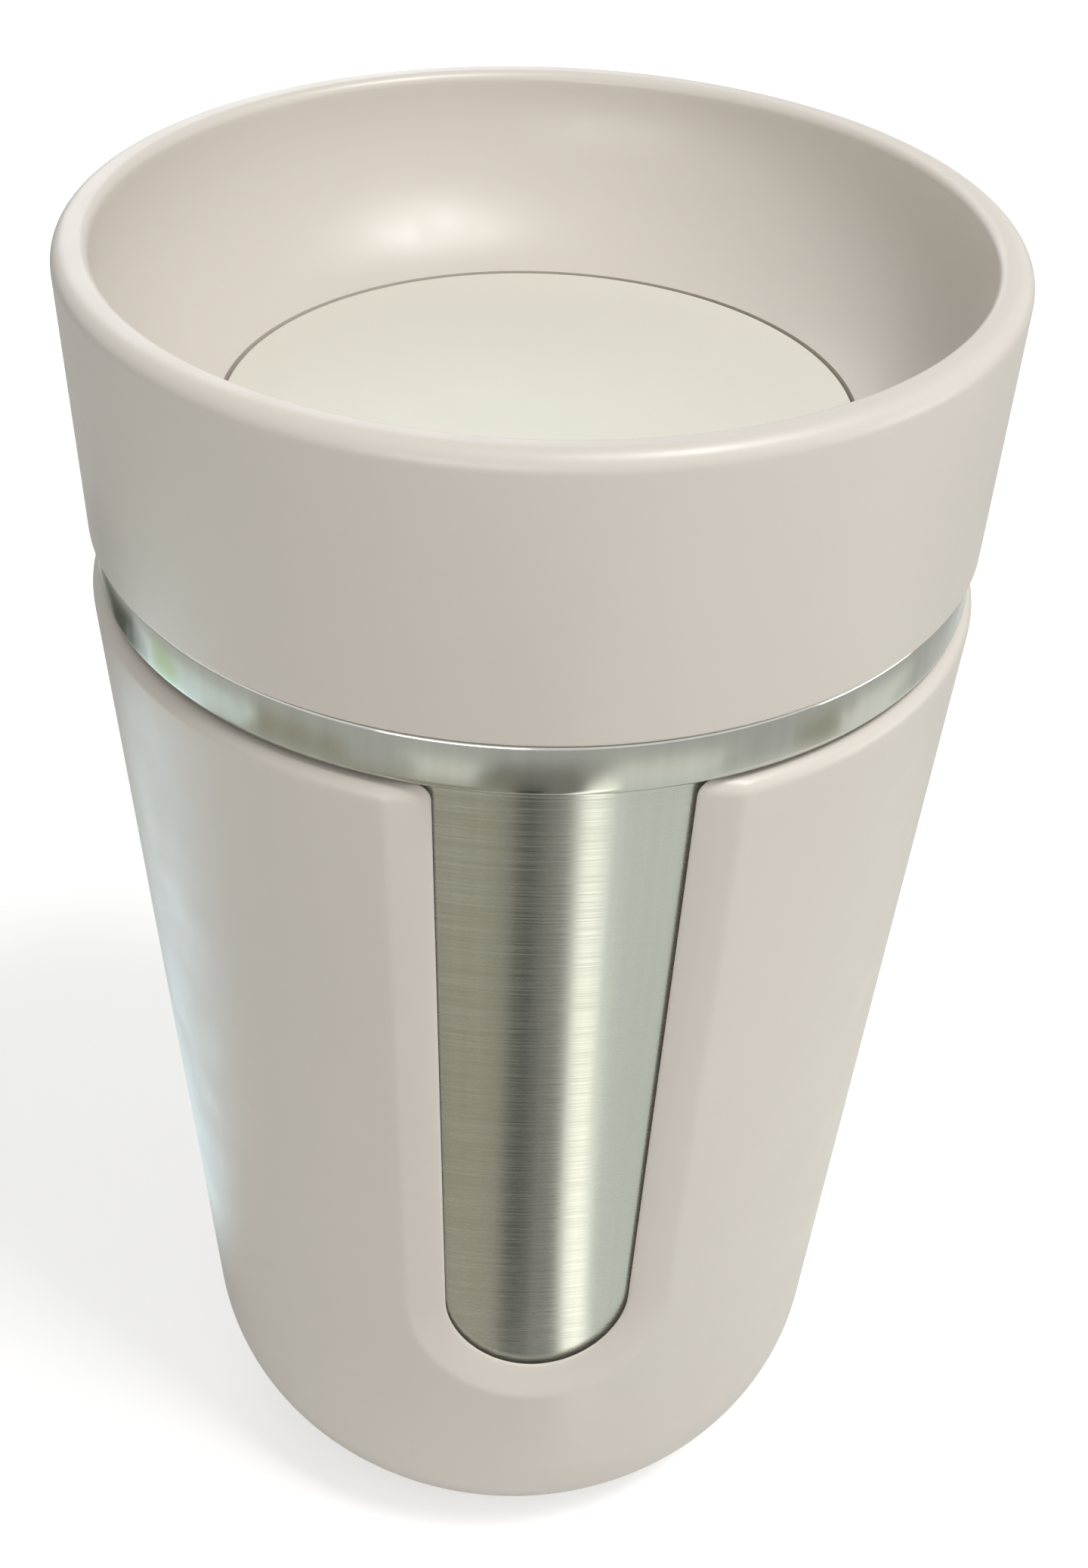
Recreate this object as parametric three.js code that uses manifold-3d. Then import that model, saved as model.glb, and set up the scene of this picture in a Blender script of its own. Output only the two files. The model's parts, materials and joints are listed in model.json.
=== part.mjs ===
// Insulated travel mug with a press-to-open lid. A double-walled steel flask stands in a moulded sleeve
// with a bevelled window. A screw-in lid closes it, and the whole disc in its bowl is the valve button.
// Millimetres, +Z up, origin in the middle of the foot, window towards -Y.

import * as THREE from "three";
import { mergeVertices } from "three/addons/utils/BufferGeometryUtils.js";
import Module from "manifold-3d";

const wasm = await Module();
wasm.setup();

// Clearance between pieces that seat on, or slide in, each other
const FIT = 0.3;

// Points of a body nearer than this are one point
const SAME_POINT = 1e-4;

// Facets: sides of a full turn, steps of a fillet or a long curve, and the turn of the lid shell's first side
const SHOWN_SIDES = 44;
const INNER_SIDES = 32;
const SMALL_SIDES = 16;
const FILLET_STEPS = 3;
const CURVE_STEPS = 6;
const HIDDEN_STEPS = 2;
const LID_FACET_TURN = THREE.MathUtils.degToRad(-3);

// Sleeve
const SLEEVE_HEIGHT = 114.6;
const SLEEVE_TOP_RADIUS = 43.3;
const SLEEVE_BASE_RADIUS = 36.5;
const SLEEVE_WALL = 1.9;
const SLEEVE_LIP_ROUND = 1.1;
const BASE_ROUND = 21;
const BASE_EDGE_ROUND = 7.5;
const BASE_ROUND_TURN = 48;

// Window in the sleeve: half widths and lowest point of its inner edge
const WINDOW_TOP_HALF_WIDTH = 12;
const WINDOW_FOOT_HALF_WIDTH = 10.3;
const WINDOW_FOOT_HEIGHT = 34;
const WINDOW_BEVEL = 3.8;
const WINDOW_LAND = 0.3;
const WINDOW_CORNER_ROUND = 2.6;

// Foot ring
const FOOT_PROUD = 0.6;
const FOOT_LET_IN = 0.9;
const FOOT_WIDTH = 6.5;
const FOOT_EDGE = 1.2;

// Steel flask
const OUTER_STEEL = 0.6;
const LINER_STEEL = 0.5;
const VACUUM_GAP = 2.6;
const NECK_GAP = 1;
const COLLAR_HEIGHT = 5.4;
const COLLAR_SET_BACK = 0.85;
const COLLAR_ROUND = 0.9;
const NECK_CLEAR = 2;
const NECK_STEP = 3;
const DIMPLE_RADIUS = 7;
const DIMPLE_RISE = 1.3;
const DIMPLE_SLOPE = 1.5;
const GETTER_RADIUS = 3.5;
const GETTER_HEIGHT = 1.4;
const GETTER_OFFSET = 14;

// Lid shell
const LID_HEIGHT = 27.3;
const LID_SET_BACK = 0.3;
const LID_FLARE = 1;
const LID_WALL = 1.8;
const LID_FOOT_ROUND = 0.45;
const RIM_ROUND = 1.7;
const BOWL_DEPTH = 17.7;
const BOWL_WALL = 2;
const THROAT_LIP = 2.4;
const SEAT_WIDTH = 3.2;

// Screw plug and its gasket
const PLUG_DEPTH = 16.5;
const PLUG_WALL = 1.7;
const PLUG_ROUND = 0.85;
const THREAD_ROOM = 1.6;
const FLANGE_THICK = 1.8;
const GASKET_THICK = 1.7;
const GASKET_WIDTH = 3.4;
const GASKET_CHAMFER = 0.6;
const LEDGE_THICK = 1.2;
const LEDGE_WIDTH = 1.5;

// Button and valve
const PRESS_TRAVEL = 5;
const BUTTON_GAP = 0.35;
const BUTTON_THICK = 2;
const BUTTON_EDGE_ROUND = 0.5;
const BUTTON_SKIRT_WALL = 1.5;
const BUTTON_SKIRT_DEPTH = 3.2;
const FLOW_GAP = 2.1;
const SEAL_OVERLAP = 2.3;
const SEAL_WIDTH = 7.6;
const SEAL_LIP = 1.6;
const SEAL_RISE = 1.5;
const SEAL_THICK = 1.9;
const CARRIER_THICK = 1.6;
const CARRIER_RING_WALL = 2;
const CARRIER_BOSS_WALL = 2.6;

// Ratchet tube, rotor and plunger
const TUBE_BORE = 7.2;
const TUBE_WALL = 1.6;
const TUBE_LEAD_IN = 5;
const RIB_DEPTH = 1.5;
const RIB_STOP = 1.5;
const LUGS = 4;
const LUG_ANGLE = 27;
const LUG_SIDE_GAP = 3;
const LUG_HEIGHT = 4.6;
const ROTOR_BORE = 2.9;
const PIN_RADIUS = 3;
const PIN_LENGTH = 4;
const WASHER_THICK = 0.8;
const WASHER_OVERLAP = 2;
const SCREW_RADIUS = 1.2;
const SCREW_LENGTH = 7;
const SCREW_HEAD_RADIUS = 2.5;
const SCREW_HEAD_HEIGHT = 1.6;
const SCREW_HEAD_ROUND = 0.8;

// Valve cage
const CAGE_THICK = 2.5;
const CAGE_RIM_WIDTH = 3;
const HUB_WIDTH = 3.2;
const SPOKES = 4;
const SPOKE_WIDTH = 3.2;

// Return spring
const SPRING_WIRE = 1.2;
const SPRING_TURNS = 4.5;
const SPRING_STEPS = 12;
const SPRING_SIDES = 5;
const SPRING_SIDE_GAP = 0.65;

// Heights
const sleeveFoot = FOOT_PROUD;
const sleeveTop = sleeveFoot + SLEEVE_HEIGHT;
const collarFoot = sleeveTop + FIT;
const mouthTop = collarFoot + COLLAR_HEIGHT;
const lidFoot = mouthTop + FIT;
const rimTop = lidFoot + LID_HEIGHT;
const plugFoot = mouthTop - PLUG_DEPTH;
const neckFoot = plugFoot - NECK_CLEAR;
const gasketFoot = mouthTop + FIT;
const flangeFoot = gasketFoot + GASKET_THICK + FIT;
const buttonTop = rimTop - BOWL_DEPTH;
const buttonFoot = buttonTop - BUTTON_THICK;
const seatHeight = buttonTop - THROAT_LIP;
const sealTop = seatHeight - FIT;
const sealFoot = sealTop - SEAL_RISE - SEAL_THICK;
const carrierTop = sealFoot - FIT;
const carrierFoot = carrierTop - CARRIER_THICK;
const tubeTop = carrierFoot - PRESS_TRAVEL - FIT;
const lugTop = tubeTop - TUBE_LEAD_IN;
const lugFoot = lugTop - LUG_HEIGHT;
const cageFoot = plugFoot + LEDGE_THICK + FIT;
const cageTop = cageFoot + CAGE_THICK;

// Numbers from one value to another in even steps, both ends included
function spaced(from, to, steps) {
  return Array.from({ length: steps + 1 }, (_, step) => THREE.MathUtils.lerp(from, to, step / steps));
}

// The sleeve's outline: a straight taper, a wide round at the base and a tighter one onto the flat
const turn = THREE.MathUtils.degToRad(BASE_ROUND_TURN);
const wideCentre = new THREE.Vector2(
  SLEEVE_BASE_RADIUS - BASE_ROUND,
  sleeveFoot + BASE_EDGE_ROUND + (BASE_ROUND - BASE_EDGE_ROUND) * Math.sin(turn),
);
const edgeCentre = new THREE.Vector2(
  wideCentre.x + (BASE_ROUND - BASE_EDGE_ROUND) * Math.cos(turn),
  sleeveFoot + BASE_EDGE_ROUND,
);
const toTop = new THREE.Vector2(SLEEVE_TOP_RADIUS, sleeveTop).sub(wideCentre);
const taper = Math.acos(BASE_ROUND / toTop.length()) - toTop.angle();

// Radius of the tapered wall at a height, set in from the sleeve's outside by the wall's inset
function taperRadius(height, inset = 0) {
  return SLEEVE_TOP_RADIUS - (sleeveTop - height) * Math.tan(taper) - inset / Math.cos(taper);
}

// Height where the rounded base meets the taper, at an inset
function baseTop(inset) {
  return wideCentre.y - (BASE_ROUND - inset) * Math.sin(taper);
}

// The rounded base at an inset, from the edge of its flat up to the start of the taper
function baseCurve(inset, edgeSteps, wideSteps) {
  const edge = spaced(Math.PI / 2, turn, edgeSteps);
  const wide = spaced(turn, taper, wideSteps).slice(1);
  return [
    ...edge.map((angle) => onArc(edgeCentre, BASE_EDGE_ROUND - inset, -angle)),
    ...wide.map((angle) => onArc(wideCentre, BASE_ROUND - inset, -angle)),
  ];
}

function onArc(centre, radius, angle) {
  return [centre.x + radius * Math.cos(angle), centre.y + radius * Math.sin(angle)];
}

// Radii
const flatRadius = edgeCentre.x;
const footRadius = flatRadius - FOOT_EDGE - FIT;
const wallInset = SLEEVE_WALL + FIT;
const linerInset = wallInset + OUTER_STEEL + VACUUM_GAP;
const collarRadius = SLEEVE_TOP_RADIUS - COLLAR_SET_BACK;
const mouthRadius = taperRadius(neckFoot, wallInset + OUTER_STEEL) - NECK_GAP - LINER_STEEL;
const plugRadius = mouthRadius - THREAD_ROOM;
const chamberRadius = plugRadius - PLUG_WALL;
const ledgeRadius = chamberRadius - LEDGE_WIDTH;
const sealRadius = chamberRadius - FLOW_GAP;
const throatRadius = sealRadius - SEAL_OVERLAP;
const skirtRadius = sealRadius - SEAL_WIDTH - FIT;
const buttonRadius = throatRadius - BUTTON_GAP;
const lidFootRadius = SLEEVE_TOP_RADIUS - LID_SET_BACK;
const rimRadius = lidFootRadius + LID_FLARE;
const lidHollowRadius = lidFootRadius - LID_WALL;
const tubeRadius = TUBE_BORE + TUBE_WALL;
const ribRadius = TUBE_BORE - RIB_DEPTH;
const rotorRadius = ribRadius - FIT;
const lugRadius = TUBE_BORE - FIT;
const journalRadius = ROTOR_BORE - FIT;
const springRadius = tubeRadius + SPRING_SIDE_GAP + SPRING_WIRE / 2;
const hubRadius = tubeRadius + HUB_WIDTH;

// Finishes
const finish = (color, roughness, metalness = 0) => ({ color, roughness, metalness });
const BEIGE_PLASTIC = finish(0xcbbdb0, 0.5);
const CREAM_PLASTIC = finish(0xdcd6c6, 0.45);
const INNER_PLASTIC = finish(0xd8d2c8, 0.55);
const GREY_PLASTIC = finish(0x8f8c88, 0.5);
const SILICONE = finish(0xe6e2da, 0.8);
const FOOT_SILICONE = finish(0xa89d92, 0.85);
const POLISHED_STEEL = finish(0xc9c9c4, 0.22, 1);
const BRUSHED_STEEL = finish(0xb9b9b4, 0.38, 1);
const SPRING_STEEL = finish(0xa9abad, 0.3, 1);
const GETTER_METAL = finish(0x6d6f72, 0.6, 1);
const SEAL_RESIN = finish(0x8a8478, 0.5);

// A closed body as a solid that can be joined and cut
function solidOf(geometry) {
  const bare = geometry.clone();
  bare.deleteAttribute("normal");
  bare.deleteAttribute("uv");
  const merged = mergeVertices(bare, SAME_POINT);
  const index = merged.index.array;
  const triangles = [];
  for (let corner = 0; corner < index.length; corner += 3) {
    const [a, b, c] = index.slice(corner, corner + 3);
    if (a !== b && b !== c && c !== a) triangles.push(a, b, c);
  }
  return new wasm.Manifold(new wasm.Mesh({
    numProp: 3,
    vertProperties: new Float32Array(merged.attributes.position.array),
    triVerts: new Uint32Array(triangles),
  }));
}

function geometryOf(solid) {
  const { vertProperties, triVerts } = solid.getMesh();
  const geometry = new THREE.BufferGeometry();
  geometry.setAttribute("position", new THREE.BufferAttribute(vertProperties, 3));
  geometry.setIndex(new THREE.BufferAttribute(triVerts, 1));
  geometry.computeVertexNormals();
  return geometry;
}

// A profile's corners are [radius, height, fillet]. A fillet becomes an arc, no longer than its sides allow
function rounded(corners) {
  const points = [];
  corners.forEach(([radius, height, fillet = 0], place) => {
    const corner = new THREE.Vector2(radius, height);
    if (fillet === 0) {
      points.push(corner);
      return;
    }
    const before = new THREE.Vector2(...corners.at(place - 1)).sub(corner);
    const after = new THREE.Vector2(...corners[(place + 1) % corners.length]).sub(corner);
    const half = before.angleTo(after) / 2;
    const longest = Math.min(before.length(), after.length()) / 2;
    const reach = Math.min(fillet / Math.tan(half), longest);
    const arcRadius = reach * Math.tan(half);
    before.normalize();
    after.normalize();
    const inward = before.clone().add(after).setLength(arcRadius / Math.sin(half));
    const centre = corner.clone().add(inward);
    const start = before.setLength(reach).sub(inward);
    const end = after.setLength(reach).sub(inward);
    const sweep = Math.atan2(start.cross(end), start.dot(end));
    for (let step = 0; step <= FILLET_STEPS; step++) {
      const spoke = start.clone().rotateAround(new THREE.Vector2(), sweep * step / FILLET_STEPS);
      points.push(centre.clone().add(spoke));
    }
  });
  return points;
}

// A turned body round +Z. Its profile ends on the axis or closes on itself, and its facets can be turned
function turned(corners, sides, facetTurn = 0) {
  const points = rounded(corners);
  if (THREE.ShapeUtils.area(points) < 0) points.reverse();
  if (points[0].x > 0 || points.at(-1).x > 0) points.push(points[0].clone());
  return solidOf(new THREE.LatheGeometry(points, sides, facetTurn).rotateX(Math.PI / 2));
}

// A block between two like grids of [degrees, height], laid on an inner and an outer surface. The rows of a
// grid go up and its columns go round, and each surface gives a radius at a height
function wrapped(innerGrid, outerGrid, innerSurface, outerSurface) {
  const place = (surface) => ([degrees, height]) => {
    const angle = THREE.MathUtils.degToRad(degrees);
    const radius = surface(height);
    return [radius * Math.sin(angle), -radius * Math.cos(angle), height];
  };
  const rows = innerGrid.length;
  const columns = innerGrid[0].length;
  const inner = innerGrid.flat().map(place(innerSurface));
  const outer = outerGrid.flat().map(place(outerSurface));
  const index = [];
  const face = (a, b, c, d) => index.push(a, b, c, a, c, d);
  const at = (row, column) => row * columns + column;
  const out = (row, column) => inner.length + at(row, column);
  for (let row = 0; row < rows - 1; row++) {
    for (let column = 0; column < columns - 1; column++) {
      const [up, next] = [row + 1, column + 1];
      face(out(row, column), out(row, next), out(up, next), out(up, column));
      face(at(row, column), at(up, column), at(up, next), at(row, next));
    }
  }
  const [top, end] = [rows - 1, columns - 1];
  for (let column = 0; column < end; column++) {
    face(at(0, column), at(0, column + 1), out(0, column + 1), out(0, column));
    face(at(top, column), out(top, column), out(top, column + 1), at(top, column + 1));
  }
  for (let row = 0; row < top; row++) {
    face(at(row, 0), out(row, 0), out(row + 1, 0), at(row + 1, 0));
    face(at(row, end), at(row + 1, end), out(row + 1, end), out(row, end));
  }
  const geometry = new THREE.BufferGeometry();
  geometry.setAttribute("position", new THREE.Float32BufferAttribute(inner.concat(outer).flat(), 3));
  geometry.setIndex(index);
  return solidOf(geometry);
}

function turnedBy(geometry, angle) {
  return solidOf(geometry.rotateZ(angle));
}

// Grid over the window, whose edge is spread out sideways from its inner edge
function windowGrid(spread, surface) {
  const topHalf = WINDOW_TOP_HALF_WIDTH + spread;
  const footHalf = WINDOW_FOOT_HALF_WIDTH + spread;
  const footCentre = WINDOW_FOOT_HEIGHT + WINDOW_FOOT_HALF_WIDTH;
  const rightEdge = spaced(0, Math.PI / 2, CURVE_STEPS).map((angle) => [
    footHalf * Math.sin(angle),
    footCentre - footHalf * Math.cos(angle),
  ]);
  for (const angle of spaced(0, Math.PI / 2, FILLET_STEPS)) {
    rightEdge.push([
      topHalf + WINDOW_CORNER_ROUND * (1 - Math.cos(angle)),
      sleeveTop - WINDOW_CORNER_ROUND * (1 - Math.sin(angle)),
    ]);
  }
  rightEdge.push([topHalf + WINDOW_CORNER_ROUND, sleeveTop + FIT]);
  return rightEdge.map(([half, height]) => {
    const degrees = THREE.MathUtils.radToDeg(half / surface(height));
    return spaced(-degrees, degrees, 2 * CURVE_STEPS).map((column) => [column, height]);
  });
}

function windowCutter() {
  const inside = (height) => taperRadius(height, SLEEVE_WALL + FIT);
  const land = (height) => taperRadius(height, SLEEVE_WALL - WINDOW_LAND);
  const outside = (height) => taperRadius(height, -FIT);
  const bevelDepth = SLEEVE_WALL - WINDOW_LAND;
  const spread = WINDOW_BEVEL * (bevelDepth + FIT) / bevelDepth;
  const straight = wrapped(windowGrid(0, inside), windowGrid(0, outside), inside, outside);
  const bevel = wrapped(windowGrid(0, land), windowGrid(spread, outside), land, outside);
  return straight.add(bevel);
}

function outerSleeve() {
  const grooveTop = sleeveFoot + FOOT_LET_IN + FIT;
  const grooveInner = footRadius - FOOT_WIDTH - FIT;
  const shell = turned([
    [0, sleeveFoot],
    [grooveInner, sleeveFoot],
    [grooveInner, grooveTop],
    [footRadius + FIT, grooveTop],
    [footRadius + FIT, sleeveFoot],
    ...baseCurve(0, FILLET_STEPS, CURVE_STEPS),
    [SLEEVE_TOP_RADIUS, sleeveTop, SLEEVE_LIP_ROUND],
    [taperRadius(sleeveTop, SLEEVE_WALL), sleeveTop],
    ...baseCurve(SLEEVE_WALL, HIDDEN_STEPS, 2 * HIDDEN_STEPS).reverse(),
    [0, sleeveFoot + SLEEVE_WALL],
  ], SHOWN_SIDES);
  return shell.subtract(windowCutter());
}

function footRing() {
  return turned([
    [footRadius - FOOT_WIDTH, 0],
    [footRadius, 0],
    [footRadius, FOOT_PROUD + FOOT_LET_IN],
    [footRadius - FOOT_WIDTH, FOOT_PROUD + FOOT_LET_IN],
  ], INNER_SIDES);
}

function flaskOuterWall() {
  const innerInset = wallInset + OUTER_STEEL;
  const collarBore = collarRadius - OUTER_STEEL;
  const shoulder = collarFoot + OUTER_STEEL;
  const weld = baseTop(innerInset) + FIT;
  return turned([
    [taperRadius(weld, wallInset), weld],
    [taperRadius(collarFoot, wallInset), collarFoot],
    [collarRadius, collarFoot, COLLAR_ROUND],
    [collarRadius, mouthTop],
    [collarBore, mouthTop],
    [collarBore, shoulder],
    [taperRadius(shoulder, innerInset), shoulder],
    [taperRadius(weld, innerInset), weld],
  ], SHOWN_SIDES);
}

// A round dish of sheet steel at an inset, with its centre raised by the rise of a dimple
function baseDish(inset, steel, rise) {
  const foot = sleeveFoot + inset;
  const outer = baseCurve(inset, HIDDEN_STEPS, HIDDEN_STEPS);
  const inner = baseCurve(inset + steel, HIDDEN_STEPS, HIDDEN_STEPS).reverse();
  const dimple = (height, radius) => [
    [0, height + rise],
    [radius, height + rise],
    [radius + DIMPLE_SLOPE, height],
  ];
  const below = rise > 0 ? dimple(foot, DIMPLE_RADIUS) : [[0, foot]];
  const above = rise > 0 ? dimple(foot + steel, DIMPLE_RADIUS).reverse() : [[0, foot + steel]];
  return turned([...below, ...outer, ...inner, ...above], INNER_SIDES);
}

function flaskBase() {
  return baseDish(wallInset, OUTER_STEEL, DIMPLE_RISE);
}

function linerFloor() {
  return baseDish(linerInset, LINER_STEEL, 0);
}

function flaskLiner() {
  const innerInset = linerInset + LINER_STEEL;
  const lipRadius = collarRadius - OUTER_STEEL - FIT;
  const lipFoot = mouthTop - OUTER_STEEL;
  const step = neckFoot - NECK_STEP;
  const weld = baseTop(innerInset) + FIT;
  return turned([
    [taperRadius(weld, linerInset), weld],
    [taperRadius(step, linerInset), step],
    [mouthRadius + LINER_STEEL, neckFoot],
    [mouthRadius + LINER_STEEL, lipFoot],
    [lipRadius, lipFoot],
    [lipRadius, mouthTop],
    [mouthRadius, mouthTop, LINER_STEEL],
    [mouthRadius, neckFoot],
    [taperRadius(step, innerInset), step],
    [taperRadius(weld, innerInset), weld],
  ], INNER_SIDES);
}

// The plug of the pump hole fills the dimple from below
function vacuumSeal() {
  const foot = sleeveFoot + SLEEVE_WALL + FIT;
  const radius = DIMPLE_RADIUS - FIT;
  return turned([
    [0, foot],
    [radius - FIT, foot],
    [radius, foot + DIMPLE_RISE - FIT],
    [0, foot + DIMPLE_RISE - FIT],
  ], SMALL_SIDES);
}

function getterPellet() {
  const foot = sleeveFoot + wallInset + OUTER_STEEL + FIT;
  const pellet = new THREE.CylinderGeometry(GETTER_RADIUS, GETTER_RADIUS, GETTER_HEIGHT, SMALL_SIDES);
  pellet.rotateX(Math.PI / 2);
  pellet.translate(GETTER_OFFSET, 0, foot + GETTER_HEIGHT / 2);
  return solidOf(pellet);
}

// Arc of the bowl, from the rim's inner side, where it is upright, down to the edge of the throat
const bowlTop = rimTop - RIM_ROUND;
const bowlRadius = rimRadius - 2 * RIM_ROUND;
const bowlAcross = bowlRadius - throatRadius;
const bowlArc = (bowlAcross ** 2 + (bowlTop - buttonTop) ** 2) / (2 * bowlAcross);
const bowlCentre = new THREE.Vector2(bowlRadius - bowlArc, bowlTop);

function underBowl(radius) {
  const arc = bowlArc + BOWL_WALL;
  return bowlCentre.y - Math.sqrt(arc ** 2 - (radius - bowlCentre.x) ** 2);
}

function lidShell() {
  const bowlEnd = Math.asin((bowlTop - buttonTop) / bowlArc);
  const bowl = spaced(0, bowlEnd, CURVE_STEPS).slice(1).map((angle) => onArc(bowlCentre, bowlArc, -angle));
  const seatRadius = throatRadius + SEAT_WIDTH;
  const underRadii = spaced(seatRadius, lidHollowRadius, CURVE_STEPS);
  const under = underRadii.map((radius) => [radius, underBowl(radius)]);
  return turned([
    [lidFootRadius, lidFoot, LID_FOOT_ROUND],
    [rimRadius, rimTop, RIM_ROUND],
    [bowlRadius, rimTop, RIM_ROUND],
    ...bowl,
    [throatRadius, seatHeight],
    [seatRadius, seatHeight],
    ...under,
    [lidHollowRadius, lidFoot],
  ], SHOWN_SIDES, LID_FACET_TURN);
}

function lidPlug() {
  const weld = (radius) => underBowl(radius) - FIT;
  const flangeTop = flangeFoot + FLANGE_THICK;
  const flangeRadius = lidHollowRadius - FIT;
  return turned([
    [ledgeRadius, plugFoot],
    [plugRadius, plugFoot, PLUG_ROUND],
    [plugRadius, flangeFoot],
    [flangeRadius, flangeFoot],
    [flangeRadius, flangeTop],
    [plugRadius, flangeTop],
    [plugRadius, weld(plugRadius)],
    [chamberRadius, weld(chamberRadius)],
    [chamberRadius, plugFoot + LEDGE_THICK],
    [ledgeRadius, plugFoot + LEDGE_THICK],
  ], INNER_SIDES);
}

function lidGasket() {
  const inner = plugRadius + FIT;
  return turned([
    [inner, gasketFoot],
    [inner + GASKET_WIDTH - GASKET_CHAMFER, gasketFoot],
    [inner + GASKET_WIDTH, gasketFoot + GASKET_CHAMFER],
    [inner + GASKET_WIDTH, gasketFoot + GASKET_THICK],
    [inner, gasketFoot + GASKET_THICK],
  ], INNER_SIDES);
}

// The ratchet's pattern in degrees. A lug keeps to one slanted path, which turns it half a pitch in a press
const pitch = 360 / LUGS;
const lugStart = LUG_SIDE_GAP;
const lugEnd = lugStart + LUG_ANGLE;
const ribStart = lugEnd + LUG_SIDE_GAP;
const ribStop = lugEnd + pitch / 2 + LUG_SIDE_GAP;
const path = (degrees) => lugTop - (degrees - lugStart) * PRESS_TRAVEL / (pitch / 2);
const ribFoot = path(ribStop) + FIT - RIB_STOP;
const tubeFoot = ribFoot;

// Joins to a body, once for each lug, a block between two angles. Its foot and its top are lines of
// height over degrees
function withBlocks(body, [start, end], foot, top, innerRadius, outerRadius) {
  let joined = body;
  for (let lug = 0; lug < LUGS; lug++) {
    const columns = spaced(start, end, 2 * HIDDEN_STEPS);
    const grid = [foot, top].map((line) => columns.map((degrees) => [degrees + lug * pitch, line(degrees)]));
    joined = joined.add(wrapped(grid, grid, () => innerRadius, () => outerRadius));
  }
  return joined;
}

function valveCage() {
  const rimOuter = chamberRadius - FIT;
  const rimInner = rimOuter - CAGE_RIM_WIDTH;
  const tube = turned([
    [TUBE_BORE, tubeFoot],
    [tubeRadius, tubeFoot],
    [tubeRadius, cageFoot],
    [hubRadius, cageFoot],
    [hubRadius, cageTop],
    [tubeRadius, cageTop],
    [tubeRadius, tubeTop],
    [TUBE_BORE, tubeTop],
  ], INNER_SIDES);
  const rim = turned([
    [rimInner, cageFoot],
    [rimOuter, cageFoot],
    [rimOuter, cageTop],
    [rimInner, cageTop],
  ], INNER_SIDES);
  const ramp = (degrees) => path(degrees) + FIT;
  const ribOuter = TUBE_BORE + TUBE_WALL / 2;
  const ramped = withBlocks(tube, [ribStart, ribStop], ramp, () => tubeTop, ribRadius, ribOuter);
  const ribbed = withBlocks(ramped, [ribStop, pitch], () => ribFoot, () => tubeTop, ribRadius, ribOuter);
  let cage = ribbed.add(rim);
  const reach = rimInner - hubRadius + CAGE_RIM_WIDTH;
  for (let spoke = 0; spoke < SPOKES; spoke++) {
    const bar = new THREE.BoxGeometry(reach, SPOKE_WIDTH, CAGE_THICK);
    bar.translate((rimInner + hubRadius) / 2, 0, (cageFoot + cageTop) / 2);
    cage = cage.add(turnedBy(bar, spoke * 2 * Math.PI / SPOKES));
  }
  return cage;
}

function buttonDisc() {
  const skirtFoot = buttonFoot - BUTTON_SKIRT_DEPTH;
  const skirtInner = skirtRadius - BUTTON_SKIRT_WALL;
  return turned([
    [0, buttonFoot],
    [skirtInner, buttonFoot],
    [skirtInner, skirtFoot],
    [skirtRadius, skirtFoot],
    [skirtRadius, buttonFoot],
    [buttonRadius, buttonFoot],
    [buttonRadius, buttonTop, BUTTON_EDGE_ROUND],
    [0, buttonTop],
  ], SHOWN_SIDES);
}

function valveSeal() {
  const inner = skirtRadius + FIT;
  const lipInner = sealRadius - SEAL_LIP;
  return turned([
    [inner, sealFoot],
    [lipInner, sealFoot],
    [sealRadius, sealTop - SEAL_RISE / 2],
    [sealRadius, sealTop],
    [lipInner, sealTop],
    [lipInner - SEAL_LIP / 2, sealFoot + SEAL_THICK],
    [inner, sealFoot + SEAL_THICK],
  ], INNER_SIDES);
}

function buttonCarrier() {
  const ringOuter = skirtRadius - BUTTON_SKIRT_WALL - FIT;
  const ringInner = ringOuter - CARRIER_RING_WALL;
  const ringTop = buttonFoot - FIT;
  const socket = PIN_RADIUS + FIT;
  const socketTop = carrierFoot + PIN_LENGTH + FIT;
  const bossRadius = socket + CARRIER_BOSS_WALL;
  return turned([
    [0, socketTop],
    [socket, socketTop],
    [socket, carrierFoot],
    [sealRadius - SEAL_LIP, carrierFoot],
    [sealRadius - SEAL_LIP, carrierTop],
    [ringOuter, carrierTop],
    [ringOuter, ringTop],
    [ringInner, ringTop],
    [ringInner, carrierTop],
    [bossRadius, carrierTop],
    [bossRadius, socketTop + CARRIER_THICK / 2],
    [0, socketTop + CARRIER_THICK / 2],
  ], INNER_SIDES);
}

const washerTop = lugFoot - FIT;
const washerFoot = washerTop - WASHER_THICK;

function plunger() {
  const bodyFoot = lugTop + FIT;
  const bodyTop = carrierFoot - FIT;
  const hole = SCREW_RADIUS + FIT;
  const holeTop = washerFoot + SCREW_LENGTH + FIT;
  const journalFoot = washerTop + FIT;
  const shaft = turned([
    [0, holeTop],
    [hole, holeTop],
    [hole, journalFoot],
    [journalRadius, journalFoot],
    [journalRadius, bodyFoot],
    [rotorRadius, bodyFoot],
    [rotorRadius, bodyTop],
    [PIN_RADIUS, bodyTop],
    [PIN_RADIUS, carrierFoot + PIN_LENGTH],
    [0, carrierFoot + PIN_LENGTH],
  ], SMALL_SIDES);
  const splineInner = rotorRadius - RIB_DEPTH / 2;
  return withBlocks(shaft, [lugStart, lugEnd], () => bodyFoot, () => tubeTop, splineInner, lugRadius);
}

function ratchetRotor() {
  const ring = turned([
    [ROTOR_BORE, lugFoot],
    [rotorRadius, lugFoot],
    [rotorRadius, lugTop],
    [ROTOR_BORE, lugTop],
  ], SMALL_SIDES);
  const lugInner = rotorRadius - RIB_DEPTH / 2;
  return withBlocks(ring, [lugStart, lugEnd], () => lugFoot, path, lugInner, lugRadius);
}

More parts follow.
